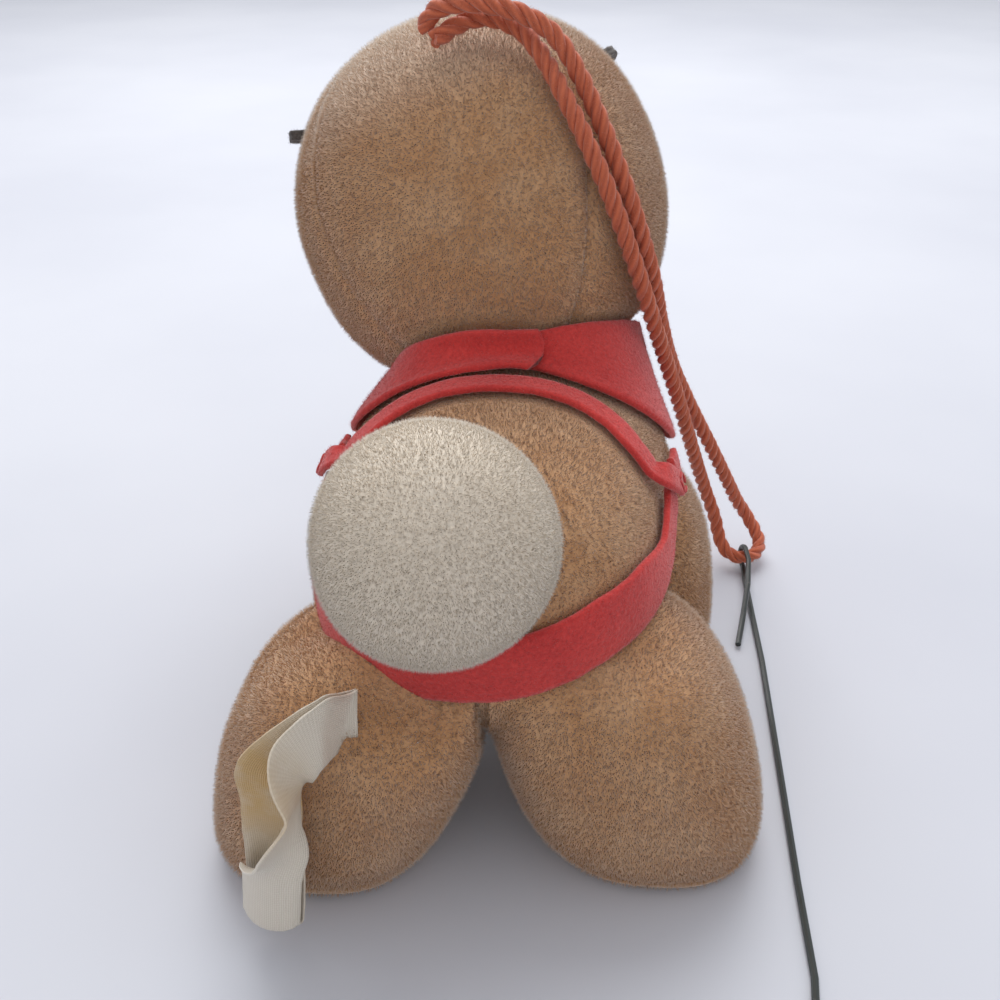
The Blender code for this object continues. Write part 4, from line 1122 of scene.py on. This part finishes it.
for name, sign, density, finish, slot, node in (
        ("back_plush", 1, BACK_DENSITY, TAN_PLUSH, "tan_plush", "back_skin"),
        ("belly_plush", -1, BELLY_DENSITY, CREAM_PLUSH, "cream_plush", "belly_panel")):
    points, faces = part_of(torso_points, torso_faces, lambda c: (c - BELLY_EDGE) @ belly_normal * sign > 0)
    outer = len(points)
    hidden = covered(points)
    points, faces = walled(points, faces, WALL)
    piece = grow_pile(name, points, faces, outer, hidden, (0, -1, -0.3), finish,
                      {"Seed": 30 + sign, "Density": density})
    belongs(piece, "body", [node])

# %% [markdown]
# ## The legs
# Each leg is a plush cup with a flat sole. It gives way to the body, the hind legs press on each other in
# the middle, and the breeching strap sinks between haunch and body.

# %% Legs
# The strap's seat, its reach and the heights below are in millimetres over the body.
STAND_HEIGHT = 1.7 * MM
SOLE_FACE = 0.75 * MM
SOLE_WALL = 0.6 * MM
MIDDLE_GAP = 0.9 * MM
OVER_STUFFING = 0.5
STRAP_SOFTENINGS = 12
STRAP_SEAT = -0.6
STRAP_REACH = 5.0
SUNK_BELOW = 6.5
FREE_ABOVE = 11.5
INSIDE_BODY = -2.0
strap_line = TORSO.toward(np.array(in_metres(BREECHING_ROUTE, 12)))
strap_share = np.linspace(0.0, 1.0, len(strap_line))


def beneath_strap(points, faces):
    """Lowers a haunch softly where the breeching strap lies on it. Also says which points it covers.

    Near the strap the haunch sinks to the strap's seat. A ramp leads back up to the free haunch, which
    starts where it stands high above the body, and the sinking is softened over the neighbours."""
    base = TORSO.toward(points)
    up = ((points - base) * TORSO.normal(base)).sum(-1)
    apart = np.linalg.norm(base[:, None, :] - strap_line[None], axis=2)
    nearest = apart.argmin(1)
    beside = (apart.min(1) - breeching_half(strap_share)[nearest]) / MM - 0.5
    ramp = np.maximum(beside, 0.0)
    limit = (STRAP_SEAT + 2.0 * ramp + 2.0 * ramp ** 2) * MM
    bound = 1 - ease(up / MM, SUNK_BELOW, FREE_ABOVE)
    sink = np.maximum(up - limit, 0.0) * bound * (beside < STRAP_REACH)
    firm = (beside < 0.3) & (up < SUNK_BELOW * MM) & (up > INSIDE_BODY * MM)
    least = sink.copy()
    links = np.array([(face[k - 1], face[k]) for face in faces for k in range(len(face))])
    shared = np.bincount(links[:, 0], minlength=len(points))
    for _ in range(STRAP_SOFTENINGS):
        beside_it = np.bincount(links[:, 0], weights=sink[links[:, 1]], minlength=len(points)) / shared
        sink = np.where(firm, least, 0.4 * sink + 0.6 * beside_it)
    lowered = points - TORSO.normal(base) * sink[:, None]
    return lowered, (beside < -0.9) & (up - sink < 0.3 * MM) & (up > INSIDE_BODY * MM)


def over_stuffing(points, node_name, free):
    """Keeps the free points of a cloth just outside its stuffing."""
    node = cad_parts[node_name]
    tree = BVHTree.FromObject(node, bpy.context.evaluated_depsgraph_get())
    place = node.matrix_world
    inverse = place.inverted()
    moved = points.copy()
    for i in np.flatnonzero(free):
        point = Vector(points[i])
        near, normal = tree.find_nearest(inverse @ point)[:2]
        near, normal = place @ near, (place.to_3x3() @ normal).normalized()
        if (point - near).length < 1.5 * MM and (point - near).dot(normal) < OVER_STUFFING * MM:
            moved[i] = near + normal * OVER_STUFFING * MM
    return moved


def make_leg(kind, name, side, leg, cuts, middle):
    points, faces = skin(leg, cuts)
    points = push_out(lumpy(points, leg, 0.3 * MM, 90.0, 9 + side), TORSO, NEIGHBOUR_GAP)
    hidden = leg.grown(-PILE_ROOM - DEEP).level(points) < 1.0
    if middle:
        points, pressed = beneath_strap(points, faces)
        apart = TORSO.toward(points) - points
        free = ~pressed & (np.linalg.norm(apart, axis=1) > 3.0 * MM)
        points = over_stuffing(points, f"{kind}_stuffing_{name}", free)
        hidden |= pressed
        points[:, 0] = side * np.maximum(points[:, 0] * side, MIDDLE_GAP)
    points[:, 2] = np.maximum(points[:, 2], STAND_HEIGHT)
    hidden |= points[:, 2] < STAND_HEIGHT + 0.01 * MM
    piece = grow_pile(f"{kind}_plush_{name}", points, faces, len(points), np.flatnonzero(hidden),
                      (0, 0, -1), TAN_PLUSH, {"Seed": 40 + side + 2 * middle})
    belongs(piece, "body", [f"{kind}_leg_{name}"])


def make_sole(kind, name, side, leg):
    """A flat pad of plush that closes the leg, with short pile underneath."""
    rings = 12
    count = 64
    share = 1.0 - abs((STAND_HEIGHT - leg.centre[2]) / leg.radii[2]) ** leg.power
    angles = np.linspace(0.0, 2 * math.pi, count, endpoint=False)
    c, s = np.cos(angles), np.sin(angles)
    level = np.abs(c / leg.radii[0]) ** leg.power + np.abs(s / leg.radii[1]) ** leg.power
    reach = (share / level) ** (1 / leg.power) - PILE_ROOM
    middle = leg.centre + np.array([leg.lean * (leg.centre[2] - STAND_HEIGHT), 0.0, 0.0])
    points = [(middle[0], middle[1], SOLE_FACE)]
    faces = []
    for ring_number in range(1, rings + 1):
        out = ring_number / rings
        rim = 0.25 * MM * ease(out, 0.88, 1.0)
        points += [(middle[0] + c[k] * reach[k] * out, middle[1] + s[k] * reach[k] * out, SOLE_FACE + rim)
                   for k in range(count)]
    for k in range(count):
        faces.append((0, 1 + (k + 1) % count, 1 + k))
        for ring_number in range(rings - 1):
            a = 1 + ring_number * count
            b = a + count
            faces.append((a + k, a + (k + 1) % count, b + (k + 1) % count, b + k))
    points = np.array(points)
    outer = len(points)
    points, faces = walled(points, faces, SOLE_WALL)
    piece = grow_pile(f"{kind}_sole_plush_{name}", points, faces, outer, [], (0, 0, 0), TAN_PLUSH,
                      {"Seed": 50 + side, "Length": 0.72 * MM, "Density": 9.0e6, "Tousle": 0.5},
                      pressed=False)
    belongs(piece, "body", [f"{kind}_sole_{name}"])


for name, side in SIDES:
    make_leg("hind", name, side, HIND[name], 30, True)
    make_leg("fore", name, side, FORE[name], 24, False)
    make_sole("hind", name, side, HIND[name])
    make_sole("fore", name, side, FORE[name])

# %% [markdown]
# ## The tail
# The tail is a tight ball of the off-white plush, flattened where it is sewn to the rump.

# %% Tail
TAIL_ROOT_BARE = 1.6 * MM
tail_points, tail_faces = skin(TAIL, 26)
tail_points = lumpy(tail_points, TAIL, 0.2 * MM, 110.0, 15)
tail_root = TORSO.toward(TAIL.centre)
tail_way = TORSO.normal(tail_root)
below = np.minimum((tail_points - tail_root) @ tail_way - TAIL_RING, 0.0)
tail_points = tail_points - below[:, None] * tail_way
hidden = TAIL.grown(-PILE_ROOM - DEEP).level(tail_points) < 1.0
hidden = np.flatnonzero(hidden | ((tail_points - tail_root) @ tail_way < TAIL_ROOT_BARE))
tail = grow_pile("tail_plush", tail_points, tail_faces, len(tail_points), hidden, (0, 0, -1), CREAM_PLUSH,
                 {"Seed": 61, "Density": 19.0e6, "Length": 0.75 * MM, "Width": 0.08 * MM, "Tuft": 0.0,
                  "Tousle": 0.4, "Stray": 0.5}, pressed=False)
belongs(tail, "tail", ["tail_skin"])

# %% [markdown]
# ## The knot in the crown
# Inside the head the cord's two ends are knotted, so that they can't pull out. The knot is a closed
# curve that winds three times round a ring while it goes round it twice, swept by the same cord tree.

# %% Knot in the crown
KNOT_DEPTH = 5.2
CROWN = HEAD.surface(np.array([3.85, -12.57, 25.95]))
knot_centre = CROWN - HEAD.normal(CROWN) * KNOT_DEPTH * MM
knot_path = []
for t in np.linspace(0, 4 * math.pi, 97):
    out = 1.35 + 0.6 * math.cos(1.5 * t)
    knot_path.append(knot_centre + mm(out * math.cos(t), out * math.sin(t), 0.7 * math.sin(1.5 * t)))
knot = on_lines("crown_knot_cord", [knot_path], twisted,
                {"Pitch": 3.0 * MM, "Offset": 0.3 * MM, "Ply Radius": 0.34 * MM, "Material": CORD_FINISH})
belongs(knot, "body", ["crown_knot"])

# %% [markdown]
# ## Muzzle and nose
# The face looks away from the photograph, so it follows what such toys have: a short cream muzzle that is
# sewn on, with a small dark nose. The muzzle gives way to the head and the nose to the muzzle.


# %% Muzzle and nose
def plush_ball(name, form, cuts, neighbours, room, brushed, finish, settings, hide=None):
    """A small stuffed piece of plush that gives way to its neighbours."""
    points, faces = skin(form, cuts, room)
    for neighbour, gap in neighbours:
        points = push_out(points, neighbour, gap)
    hidden = form.grown(-room - 1.5 * MM).level(points) < 1.0
    if hide is not None:
        hidden |= hide(points)
    return grow_pile(name, points, faces, len(points), np.flatnonzero(hidden), brushed, finish, settings,
                     pressed=False)


muzzle = plush_ball("muzzle_plush", MUZZLE, 18, [(HEAD, NEIGHBOUR_GAP)], 0.6 * MM, (0, -1, -1),
                    CREAM_PLUSH, {"Seed": 71, "Length": 0.85 * MM})
belongs(muzzle, "body", ["muzzle_skin"])

NOSE_LIFT = math.radians(24.0)
NOSE_RADII = mm(5.0, 3.4, 3.8)
nose_place = MUZZLE.surface(np.array([0.0, math.cos(NOSE_LIFT), math.sin(NOSE_LIFT)]), NOSE_RADII[1] * 0.45)
NOSE = Form(nose_place, NOSE_RADII, 2.0, HEAD_TURN)
nose = plush_ball("nose_plush", NOSE, 14, [(MUZZLE, 0.4 * MM)], 0.3 * MM, (0, 0, -1), DARK_PLUSH,
                  {"Seed": 73, "Length": 0.5 * MM, "Density": 22.0e6, "Width": 0.08 * MM})
belongs(nose, "body", ["nose"])

# %% [markdown]
# ## Stitches as Geometry Nodes
# A stitch is a short piece of thread that bulges in its middle and sinks in at both ends. The tree walks
# along a line, and every so often lays down one long thin ball, turned along the line.

# %% Geometry Nodes for stitches
nodes, given, result = new_group(
    "stitches", "GeometryNodeTree",
    {"Geometry": "Geometry", "Spacing": 2.0 * MM, "Stitch Length": 1.4 * MM, "Thread": 0.2 * MM,
     "Material": "Material"},
    {"Geometry": "Geometry"})
stitches = nodes.tree
line = nodes.out("GeometryNodeMeshToCurve", {0: given["Geometry"]})
spots = nodes.node("GeometryNodeCurveToPoints", {0: line, "Length": given["Spacing"]}, mode="LENGTH")
bead = nodes.out("GeometryNodeMeshUVSphere", {"Segments": 8, "Rings": 7, "Radius": 1.0})
half_length = nodes.math("MULTIPLY", given["Stitch Length"], 0.5)
size = nodes.out("ShaderNodeCombineXYZ", {0: given["Thread"], 1: given["Thread"], 2: half_length})
sewn = nodes.placed(spots.outputs[0], bead, spots.outputs["Tangent"], size)
nodes.feed(result["Geometry"], nodes.finished(sewn, given["Material"]))


def thread_finish(name, dark, light_colour):
    made, nodes, shader = principled(name, 0.6, Sheen_Weight=0.2, Sheen_Roughness=0.4)
    inputs = {"Vector": nodes.place(), "Scale": 1400.0, "Distortion": 3.0}
    twist = nodes.out("ShaderNodeTexWave", inputs, 1)
    nodes.colour(shader, twist, dark, light_colour)
    nodes.bump(shader, twist, 0.05 * MM)
    return made


RED_THREAD = thread_finish("red_thread", (0.42, 0.02, 0.02), (0.62, 0.06, 0.05))
DARK_THREAD = thread_finish("dark_thread", (0.02, 0.012, 0.01), (0.07, 0.05, 0.04))
GREY_THREAD = thread_finish("grey_thread", (0.10, 0.085, 0.075), (0.22, 0.19, 0.17))


def sew(name, routes, sizes, finish, body, nodes=()):
    """Stitches along routes of points. sizes are their spacing, length and thread radius in millimetres."""
    settings = {label: size * MM for label, size in zip(("Spacing", "Stitch Length", "Thread"), sizes)}
    belongs(on_lines(name, routes, stitches, {**settings, "Material": finish}), body, nodes)


# %% Mouth and flank stitches
def on_muzzle(aside, lift):
    """A place on the muzzle by two angles in degrees, aside from its middle and up."""
    a, b = math.radians(aside), math.radians(lift)
    way = np.array([math.sin(a) * math.cos(b), math.cos(a) * math.cos(b), math.sin(b)])
    return MUZZLE.surface(way, 0.25 * MM)


smile = [on_muzzle(a, -22 + 9 * (a / 32) ** 2) for a in range(-32, 33, 4)]
lip = [on_muzzle(0, b) for b in range(0, -23, -2)]
sew("mouth_stitches", [lip, smile], (1.5, 1.7, 0.3), DARK_THREAD, "body")
for name, side in SIDES:
    spot = TORSO.toward(mirrored(mm(*BACK_ROUTE[-1]), side), GAP + LAYER + FELT)
    out = TORSO.normal(spot)
    aside = unit(np.cross(out, [0, 0, 1]))
    upward = np.cross(aside, out)
    ring = [spot + (aside * math.cos(a) + upward * math.sin(a)) * 1.15 * MM
            for a in np.linspace(0, 2 * math.pi, 25)]
    sew("flank_thread_" + name, [ring], (1.8, 1.9, 0.27), RED_THREAD, "body",
        ["flank_stitch_" + name])

# %% [markdown]
# ## Eyes
# The eyes are shiny black domes, moulded with a stem that goes through the plush. A turned shape is
# a profile that runs round an axis, so each is made as rings of points.


# %% Eyes
def turned(name, profile, seat, out, steps):
    """A closed turned piece. The profile is (radius, height) pairs from one pole to the other."""
    aside = unit(np.cross([0, 0, 1], out))
    upward = np.cross(out, aside)
    points, rings = [], []
    for radius, height in profile:
        turns = [0.0] if radius == 0 else np.linspace(0, 2 * math.pi, steps, endpoint=False)
        rings.append(range(len(points), len(points) + len(turns)))
        points += [seat + out * height + (aside * math.cos(t) + upward * math.sin(t)) * radius
                   for t in turns]
    faces = []
    for upper, lower in zip(rings, rings[1:]):
        for k in range(steps):
            corners = [upper[k % len(upper)], lower[k % len(lower)],
                       lower[(k + 1) % len(lower)], upper[(k + 1) % len(upper)]]
            faces.append(list(dict.fromkeys(corners)))
    piece = new_piece(name, points, faces)
    with editing(piece.data) as bm:
        bmesh.ops.recalc_face_normals(bm, faces=bm.faces)
    return piece


BLACK_GLOSS = mottled("black_gloss", 0.12, 900.0, 4.0, (0.006, 0.005, 0.005), (0.02, 0.016, 0.014),
                      rough_limits=(0.4, 0.75, 0.09, 0.3), Coat_Weight=0.6, Coat_Roughness=0.05)
EYE_WAY = (0.42, 0.88, 0.13)
EYE_RADIUS = 2.7 * MM
EYE_HEIGHT = 1.9 * MM
dome = [(EYE_RADIUS * math.cos(math.radians(a)), GAP + EYE_HEIGHT * math.sin(math.radians(a)))
        for a in range(80, -1, -8)]
stem = [(r * MM, h * MM)
        for r, h in ((2.55, 0.1), (1.1, 0.1), (0.9, -0.2), (0.9, -4.6), (0.7, -4.8), (0.0, -4.8))]
for name, side in SIDES:
    seat = HEAD.surface(mirrored(EYE_WAY, side))
    eye = turned("eye_gloss_" + name, [(0.0, GAP + EYE_HEIGHT)] + dome + stem, seat, HEAD.normal(seat), 40)
    eye.data.materials.append(BLACK_GLOSS)
    belongs(eye, "body", ["eye_" + name])

# %% [markdown]
# ## Ears
# Each ear is a leaf of plush, hollowed on its front, with a pale lining in the hollow.

# %% Ears
EAR_ROOT = (0.74, 0.66, 0.0)
EAR_RUN = (0.20, 0.92, -0.34)
EAR_HALF = 7.5 * MM
EAR_THICK = 1.7 * MM
EAR_DISH = 1.1 * MM
for name, side in SIDES:
    root = HEAD.surface(mirrored(EAR_ROOT, side), 0.7 * MM)
    run = unit(HEAD.frame @ mirrored(EAR_RUN, side))
    face = unit(np.cross(HEAD.frame @ np.array([side * 0.35, 0.3, 0.9]), run)) * side
    ear_turn = np.array([np.cross(run, face), face, run]).T
    centre = root + run * EAR_HALF
    leaf = Form(centre, (5.25 * MM, EAR_THICK, EAR_HALF), 2.0, ear_turn)
    dish_radius = EAR_HALF ** 2 / (2 * EAR_DISH)
    dish_centre = centre + face * (dish_radius + EAR_THICK - EAR_DISH)
    dish = Form(dish_centre, np.full(3, dish_radius), 2.0, ear_turn)
    pad = Form(centre + face * (EAR_THICK - EAR_DISH + 0.75 * MM), mm(3.57, 0.45, 5.4), 2.0, ear_turn)
    wide_pad = Form(pad.centre, pad.radii * np.array([0.85, 3.0, 0.85]), 2.0, ear_turn)
    ear = plush_ball("ear_plush_" + name, leaf, 16, [(dish, 0.25 * MM), (HEAD, 0.5 * MM)], 0.4 * MM, run,
                     TAN_PLUSH, {"Seed": 75 + side, "Length": 0.8 * MM, "Width": 0.1 * MM},
                     lambda p: wide_pad.level(p) < 1.0)
    belongs(ear, "ear_" + name, ["ear_" + name])
    lining = plush_ball("ear_lining_plush_" + name, pad, 10, [], 0.1 * MM, run, CREAM_PLUSH,
                        {"Seed": 77 + side, "Length": 0.35 * MM, "Density": 18.0e6, "Width": 0.07 * MM})
    belongs(lining, "ear_" + name, ["ear_lining_" + name])

# %% [markdown]
# ## Antlers
# The antlers are cut from two layers of dark felt with a running stitch near the edge. The outline is
# extruded, and a fine voxel remesh rounds its edges. The root disappears in the seam of the head.

# %% Antlers
ANTLER_ROOT = (0.58, 0.70, 0.38)
ANTLER_RUN = {"left": (0.65, -0.68, 0.46), "right": (0.25, 0.92, -0.30)}
ANTLER_THICKNESS = 1.6 * MM
ANTLER_SEATED = 1.5 * MM
ANTLER_KEPT_IN = 1.7 * MM
STITCHES_FROM = 3.2 * MM
INSET = 0.95 * MM
ANTLER_OUTLINE = [
    (-3, -3.0), (4, -2.6), (8, -2.9), (12.4, -4.6), (14.4, -3.2), (12.4, -1.0), (16.0, 0.8), (15.2, 2.8),
    (11.0, 2.0), (9.2, 2.6), (10.4, 6.2), (8.6, 7.2), (6.0, 3.2), (3.4, 2.6), (-3, 3.0),
]
outline = np.array([p[:2] for p in smooth_route([(x, y, 0.0) for x, y in ANTLER_OUTLINE], 6)]) * MM


def inset_runs(outline, inset):
    """Runs of points that lie the inset inside a flat outline."""
    way = unit(np.gradient(outline, axis=0))
    moved = outline + np.stack([-way[:, 1], way[:, 0]], axis=1) * inset
    apart = np.linalg.norm(moved[:, None] - outline[None], axis=2).min(1)
    runs = [[]]
    for point, distance in zip(moved, apart):
        if distance > inset * 0.93 and point[0] > STITCHES_FROM:
            runs[-1].append(point)
        elif runs[-1]:
            runs.append([])
    return [run for run in runs if len(run) > 4]


def felt_antler(name, axes, root):
    """A thick felt shape with soft edges, from its flat outline."""
    bm = bmesh.new()
    low = [bm.verts.new((x, y, -ANTLER_THICKNESS / 2)) for x, y in outline]
    bottom = bm.faces.new(low)
    grown = bmesh.ops.extrude_face_region(bm, geom=[bottom])
    top = [v for v in grown["geom"] if isinstance(v, bmesh.types.BMVert)]
    bmesh.ops.translate(bm, verts=top, vec=(0, 0, ANTLER_THICKNESS))
    bmesh.ops.recalc_face_normals(bm, faces=bm.faces)
    piece = new_piece("antler_felt_" + name, [], [])
    bm.to_mesh(piece.data)
    bm.free()
    remesh = piece.modifiers.new("fine grid", "REMESH")
    remesh.mode = "VOXEL"
    remesh.voxel_size = 0.2 * MM
    soften = piece.modifiers.new("soft edge", "SMOOTH")
    soften.iterations = 5
    settle(piece)
    mesh = piece.data
    mesh.shade_smooth()
    points, normals = of_points(mesh, "co"), of_points(mesh, "normal")
    seam = np.exp(-(points[:, 2] / (0.16 * MM)) ** 2) * (1 - np.abs(normals[:, 2]))
    points -= normals * (0.14 * MM * seam)[:, None]
    points += normals * (0.06 * MM * uneven(points, 700.0, 4))[:, None]
    rooted = (1 - ease(points[:, 0] / MM, -1.0, 3.8))[:, None]
    flat = points[:, 2:] * 0.25
    points = points @ axes.T + root
    seat = HEAD.toward(points, -ANTLER_SEATED)
    points += (seat + HEAD.normal(seat) * flat - points) * rooted
    move_to(mesh, push_out(points, HEAD, -ANTLER_KEPT_IN))
    mesh.materials.append(DARK_FELT)
    return piece


for name, side in SIDES:
    root = HEAD.surface(mirrored(ANTLER_ROOT, side), 0.7 * MM)
    run = unit(HEAD.frame @ mirrored(ANTLER_RUN[name], side))
    face = unit(np.cross(run, HEAD.frame @ np.array([0.0, 0.9, -0.45])))
    axes = np.array([run, np.cross(face, run), face]).T
    antler = felt_antler(name, axes, root)
    belongs(antler, "antler_" + name, ["antler_" + name])
    hairs = fuzz(antler, "antler_fuzz_" + name,
                 {**FELT_FUZZ, "Density": 9.0e6, "Seed": 81, "Material": DARK_FUZZ})
    belongs(hairs, "antler_" + name)
    lines = [[root + axes @ np.array([x, y, z * (ANTLER_THICKNESS / 2 + 0.02 * MM)]) for x, y in points]
             for points in inset_runs(outline, INSET) for z in (-1, 1)]
    sew("antler_stitches_" + name, lines, (1.5, 1.0, 0.13), GREY_THREAD, "antler_" + name)

# %% [markdown]
# ## The satin label
# The label is a woven satin ribbon, folded to a loop with both its ends held in the seam of the haunch.
# It turns over on its way down, which lets the loop open, and its turn has yellowed. It is bare here.

# %% Satin finish
WARP_PITCH = 0.26 * MM
WEFT_PITCH = 0.34 * MM
SATIN, nodes, shader = principled("satin_label", 0.42, Sheen_Weight=0.15, Sheen_Roughness=0.4)
warp, weft = (nodes.math("SINE", nodes.math("MULTIPLY", nodes.attribute(name), 2 * math.pi / pitch))
              for name, pitch in (("across", WARP_PITCH), ("run", WEFT_PITCH)))
weave = nodes.math("ADD", warp, nodes.math("MULTIPLY", weft, 0.6))
aged = nodes.math("MULTIPLY", nodes.attribute("aged"),
                  nodes.ranged(nodes.noise(260.0, 4.0), 0.3, 0.6, 0.5, 1.0))
cloth = nodes.mixed(nodes.ranged(weave, -1.6, 1.6, 0.0, 1.0), opaque((0.62, 0.55, 0.45)),
                    opaque((0.76, 0.70, 0.60)))
cloth = nodes.mixed(aged, cloth, opaque((0.56, 0.37, 0.16)))
nodes.feed(shader.inputs["Base Color"], cloth)
nodes.bump(shader, weave, 0.02 * MM)

# %% Label
# Sizes without MM are in millimetres. Shares run from the seam, at 0, to the fold, at 1.
LABEL_ROUTE = [
    (-14.3, -52.7, 34.2), (-17.3, -55.4, 33.8), (-19.7, -57.2, 32.6), (-22.9, -58.6, 28.8),
    (-23.9, -59.6, 22.7), (-24.2, -60, 14.5), (-25.1, -60.2, 5.6),
]
LABEL_ACROSS = [
    (0.0, -0.5, -0.87), (0.05, -0.3, -0.95), (0.35, 0.05, -0.93), (0.85, 0.2, -0.49),
    (0.97, -0.2, -0.04), (0.97, -0.25, 0.0), (0.97, -0.25, 0.07),
]
LABEL_HALF = 4.0 * MM
LABEL_COLUMNS = 9
LABEL_THICKNESS = 0.28 * MM
LABEL_STEPS = 12
OPEN_AT_SEAM = 0.33
OPENS_BY = 1.25
TURN_AT = 0.6
TURN_SPREAD = 0.17
TURN_ANGLE = math.radians(80.0)
TURN_LIFT = 1.3 * MM
TURN_ASIDE = 2.7
FAR_ASIDE = 0.4
CUP = 1.25 * MM
ROUNDING = -1.5 * MM
CORNER_SUNK = 1.8
SEAM_DEPTHS = (0.9 * MM, 1.3 * MM)
FOLD_BULGE = 0.75
line = np.array(in_metres(LABEL_ROUTE, LABEL_STEPS))
across = unit([w[:] for w in smooth_route(LABEL_ACROSS, LABEL_STEPS)])
share = np.linspace(0.0, 1.0, len(line))
along = unit(np.gradient(line, axis=0))
far_way = unit(np.cross(across, along))
sides = np.linspace(-1.0, 1.0, LABEL_COLUMNS)[None, :, None]
opening = (OPEN_AT_SEAM + OPENS_BY * ease(share, 0.12, 0.6))[:, None] * MM
turning = np.exp(-((share - TURN_AT) / TURN_SPREAD) ** 4)[:, None]
twist = TURN_ANGLE * turning
near_across = across * np.cos(twist) + far_way * np.sin(twist)
near_middle = line - far_way * (opening + TURN_LIFT * turning) + across * TURN_ASIDE * MM * turning
far_middle = line + far_way * opening - across * FAR_ASIDE * MM * turning
cupped = CUP * ease(share, 0.6, 0.85)[:, None, None] * sides ** 2 * far_way[:, None, :]
rounded = ROUNDING * ease(share, 0.86, 1.0)[:, None, None] * sides ** 4 * along[:, None, :]
near_rows = near_middle[:, None] + near_across[:, None] * sides * LABEL_HALF + cupped + rounded
far_rows = far_middle[:, None] + across[:, None] * sides * LABEL_HALF - cupped + rounded
low = (sides + 1) / 2
held = 1 - ease(share[:, None, None] - 0.1 * low, 0.0, 0.16)
for layer_rows, depth in zip((near_rows, far_rows), SEAM_DEPTHS):
    sewn = HIND["left"].toward(layer_rows, -depth)
    sewn = sewn - HIND["left"].normal(sewn) * CORNER_SUNK * MM * low ** 1.5
    layer_rows += (sewn - layer_rows) * held
fold_rows = []
radius = float(opening[-1, 0])
for degrees in range(15, 180, 15):
    a = math.radians(degrees)
    middle = line[-1] + far_way[-1] * radius * math.cos(a) + along[-1] * FOLD_BULGE * MM * math.sin(a)
    bend = cupped[-1] * -math.cos(a) + rounded[-1]
    fold_rows.append(middle + across[-1] * sides[0] * LABEL_HALF + bend)
label_rows = np.concatenate([far_rows, np.array(fold_rows), near_rows[::-1]])
label = felt_strip("label_ribbon", label_rows, line[len(line) // 2], SATIN, LABEL_THICKNESS)
rows = len(label_rows)
around = len(label.data.vertices) // rows
column = list(range(LABEL_COLUMNS)) + [LABEL_COLUMNS - 1] * 2 + list(range(LABEL_COLUMNS))[::-1] + [0, 0]
steps = np.linalg.norm(np.diff(label_rows[:, LABEL_COLUMNS // 2], axis=0), axis=1)
length_run = np.concatenate([[0.0], np.cumsum(steps)])
write_attribute(label.data, "run", np.repeat(length_run, around))
write_attribute(label.data, "across", np.tile(sides[0, :, 0][column] * LABEL_HALF, rows))
far_aged = 1.2 * np.exp(-((share - 0.56) / 0.22) ** 2)
near_aged = 0.5 * np.exp(-((share - 0.5) / 0.14) ** 2)
aged_rows = np.concatenate([far_aged, np.zeros(len(fold_rows)), near_aged[::-1]])
write_attribute(label.data, "aged", np.repeat(aged_rows, around))
belongs(label, "label", ["label"])
print(f"label cut to {length_run[-1]:.4f} by {2 * LABEL_HALF:.4f} m")

# %% [markdown]
# ## Solids that stay
# The stuffing, the locking washers and the wire hook keep their solid shape and get a finish.

# %% Finishes of the solids that stay
FILL = mottled("fibre_fill", 0.95, 700.0, 6.0, (0.62, 0.61, 0.58), (0.88, 0.87, 0.84), depth=0.4 * MM,
               texture={"Distortion": 2.5}, Sheen_Weight=0.3, Sheen_Roughness=0.6)
WHITE_PLASTIC = mottled("white_plastic", 0.45, 1500.0, 4.0, (0.72, 0.71, 0.68), (0.82, 0.81, 0.79),
                        rough_limits=(0.3, 0.7, 0.35, 0.6))
HOOK_PAINT = mottled("hook_paint", 0.35, 420.0, 6.0, (0.016, 0.022, 0.02), (0.20, 0.19, 0.18),
                     spread=(0.62, 0.72), rough_limits=(0.3, 0.7, 0.28, 0.55), depth=0.03 * MM, metal=True,
                     texture={"Roughness": 0.7}, Coat_Weight=0.3, Coat_Roughness=0.2)
KEPT = {"stuffing": FILL, "washer": WHITE_PLASTIC, "hook": HOOK_PAINT}
for node_name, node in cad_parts.items():
    for word, finish in KEPT.items():
        if word in node_name:
            node.data.materials.clear()
            node.data.materials.append(finish)
print("finished solids:", sum(any(w in n for w in KEPT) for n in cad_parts))

# %% [markdown]
# ## Floor and light
# The toy stands on a pale table. One big soft lamp hangs above and beyond it, as the window of the
# photograph lights it, and the world fills the shadows. Both are set so that a colour renders about as it
# is written.

# %% Stage
PALE_TABLE = mottled("pale_table", 0.6, 6.0, 4.0, (0.55, 0.565, 0.625), (0.61, 0.625, 0.68),
                     spread=(0.35, 0.65))
floor = new_piece("pale_table", [(-2, -2, 0), (2, -2, 0), (2, 2, 0), (-2, 2, 0)], [(0, 1, 2, 3)])
floor.data.materials.append(PALE_TABLE)

LAMP_PLACE = (-0.05, 0.42, 0.62)
LAMP_AIM = Vector((0, 0, 0.05))
lamp_data = bpy.data.lights.new("window", "AREA")
lamp_data.size = 0.6
lamp_data.energy = 4.4
lamp = add_object("window", lamp_data)
lamp.location = LAMP_PLACE
lamp.rotation_euler = (LAMP_AIM - lamp.location).to_track_quat("-Z", "Y").to_euler()

world = bpy.data.worlds.new("room")
bpy.context.scene.world = world
world.use_nodes = True
background = world.node_tree.nodes["Background"]
background.inputs["Color"].default_value = (0.86, 0.87, 0.90, 1.0)
background.inputs["Strength"].default_value = 0.85
bpy.context.scene.view_settings.view_transform = "Standard"

# %% [markdown]
# ## Sizes and the end
# A helper turns corners into plain lists of numbers.


# %% Sizes
def plain(corners):
    return [[float(c) for c in corner] for corner in corners]
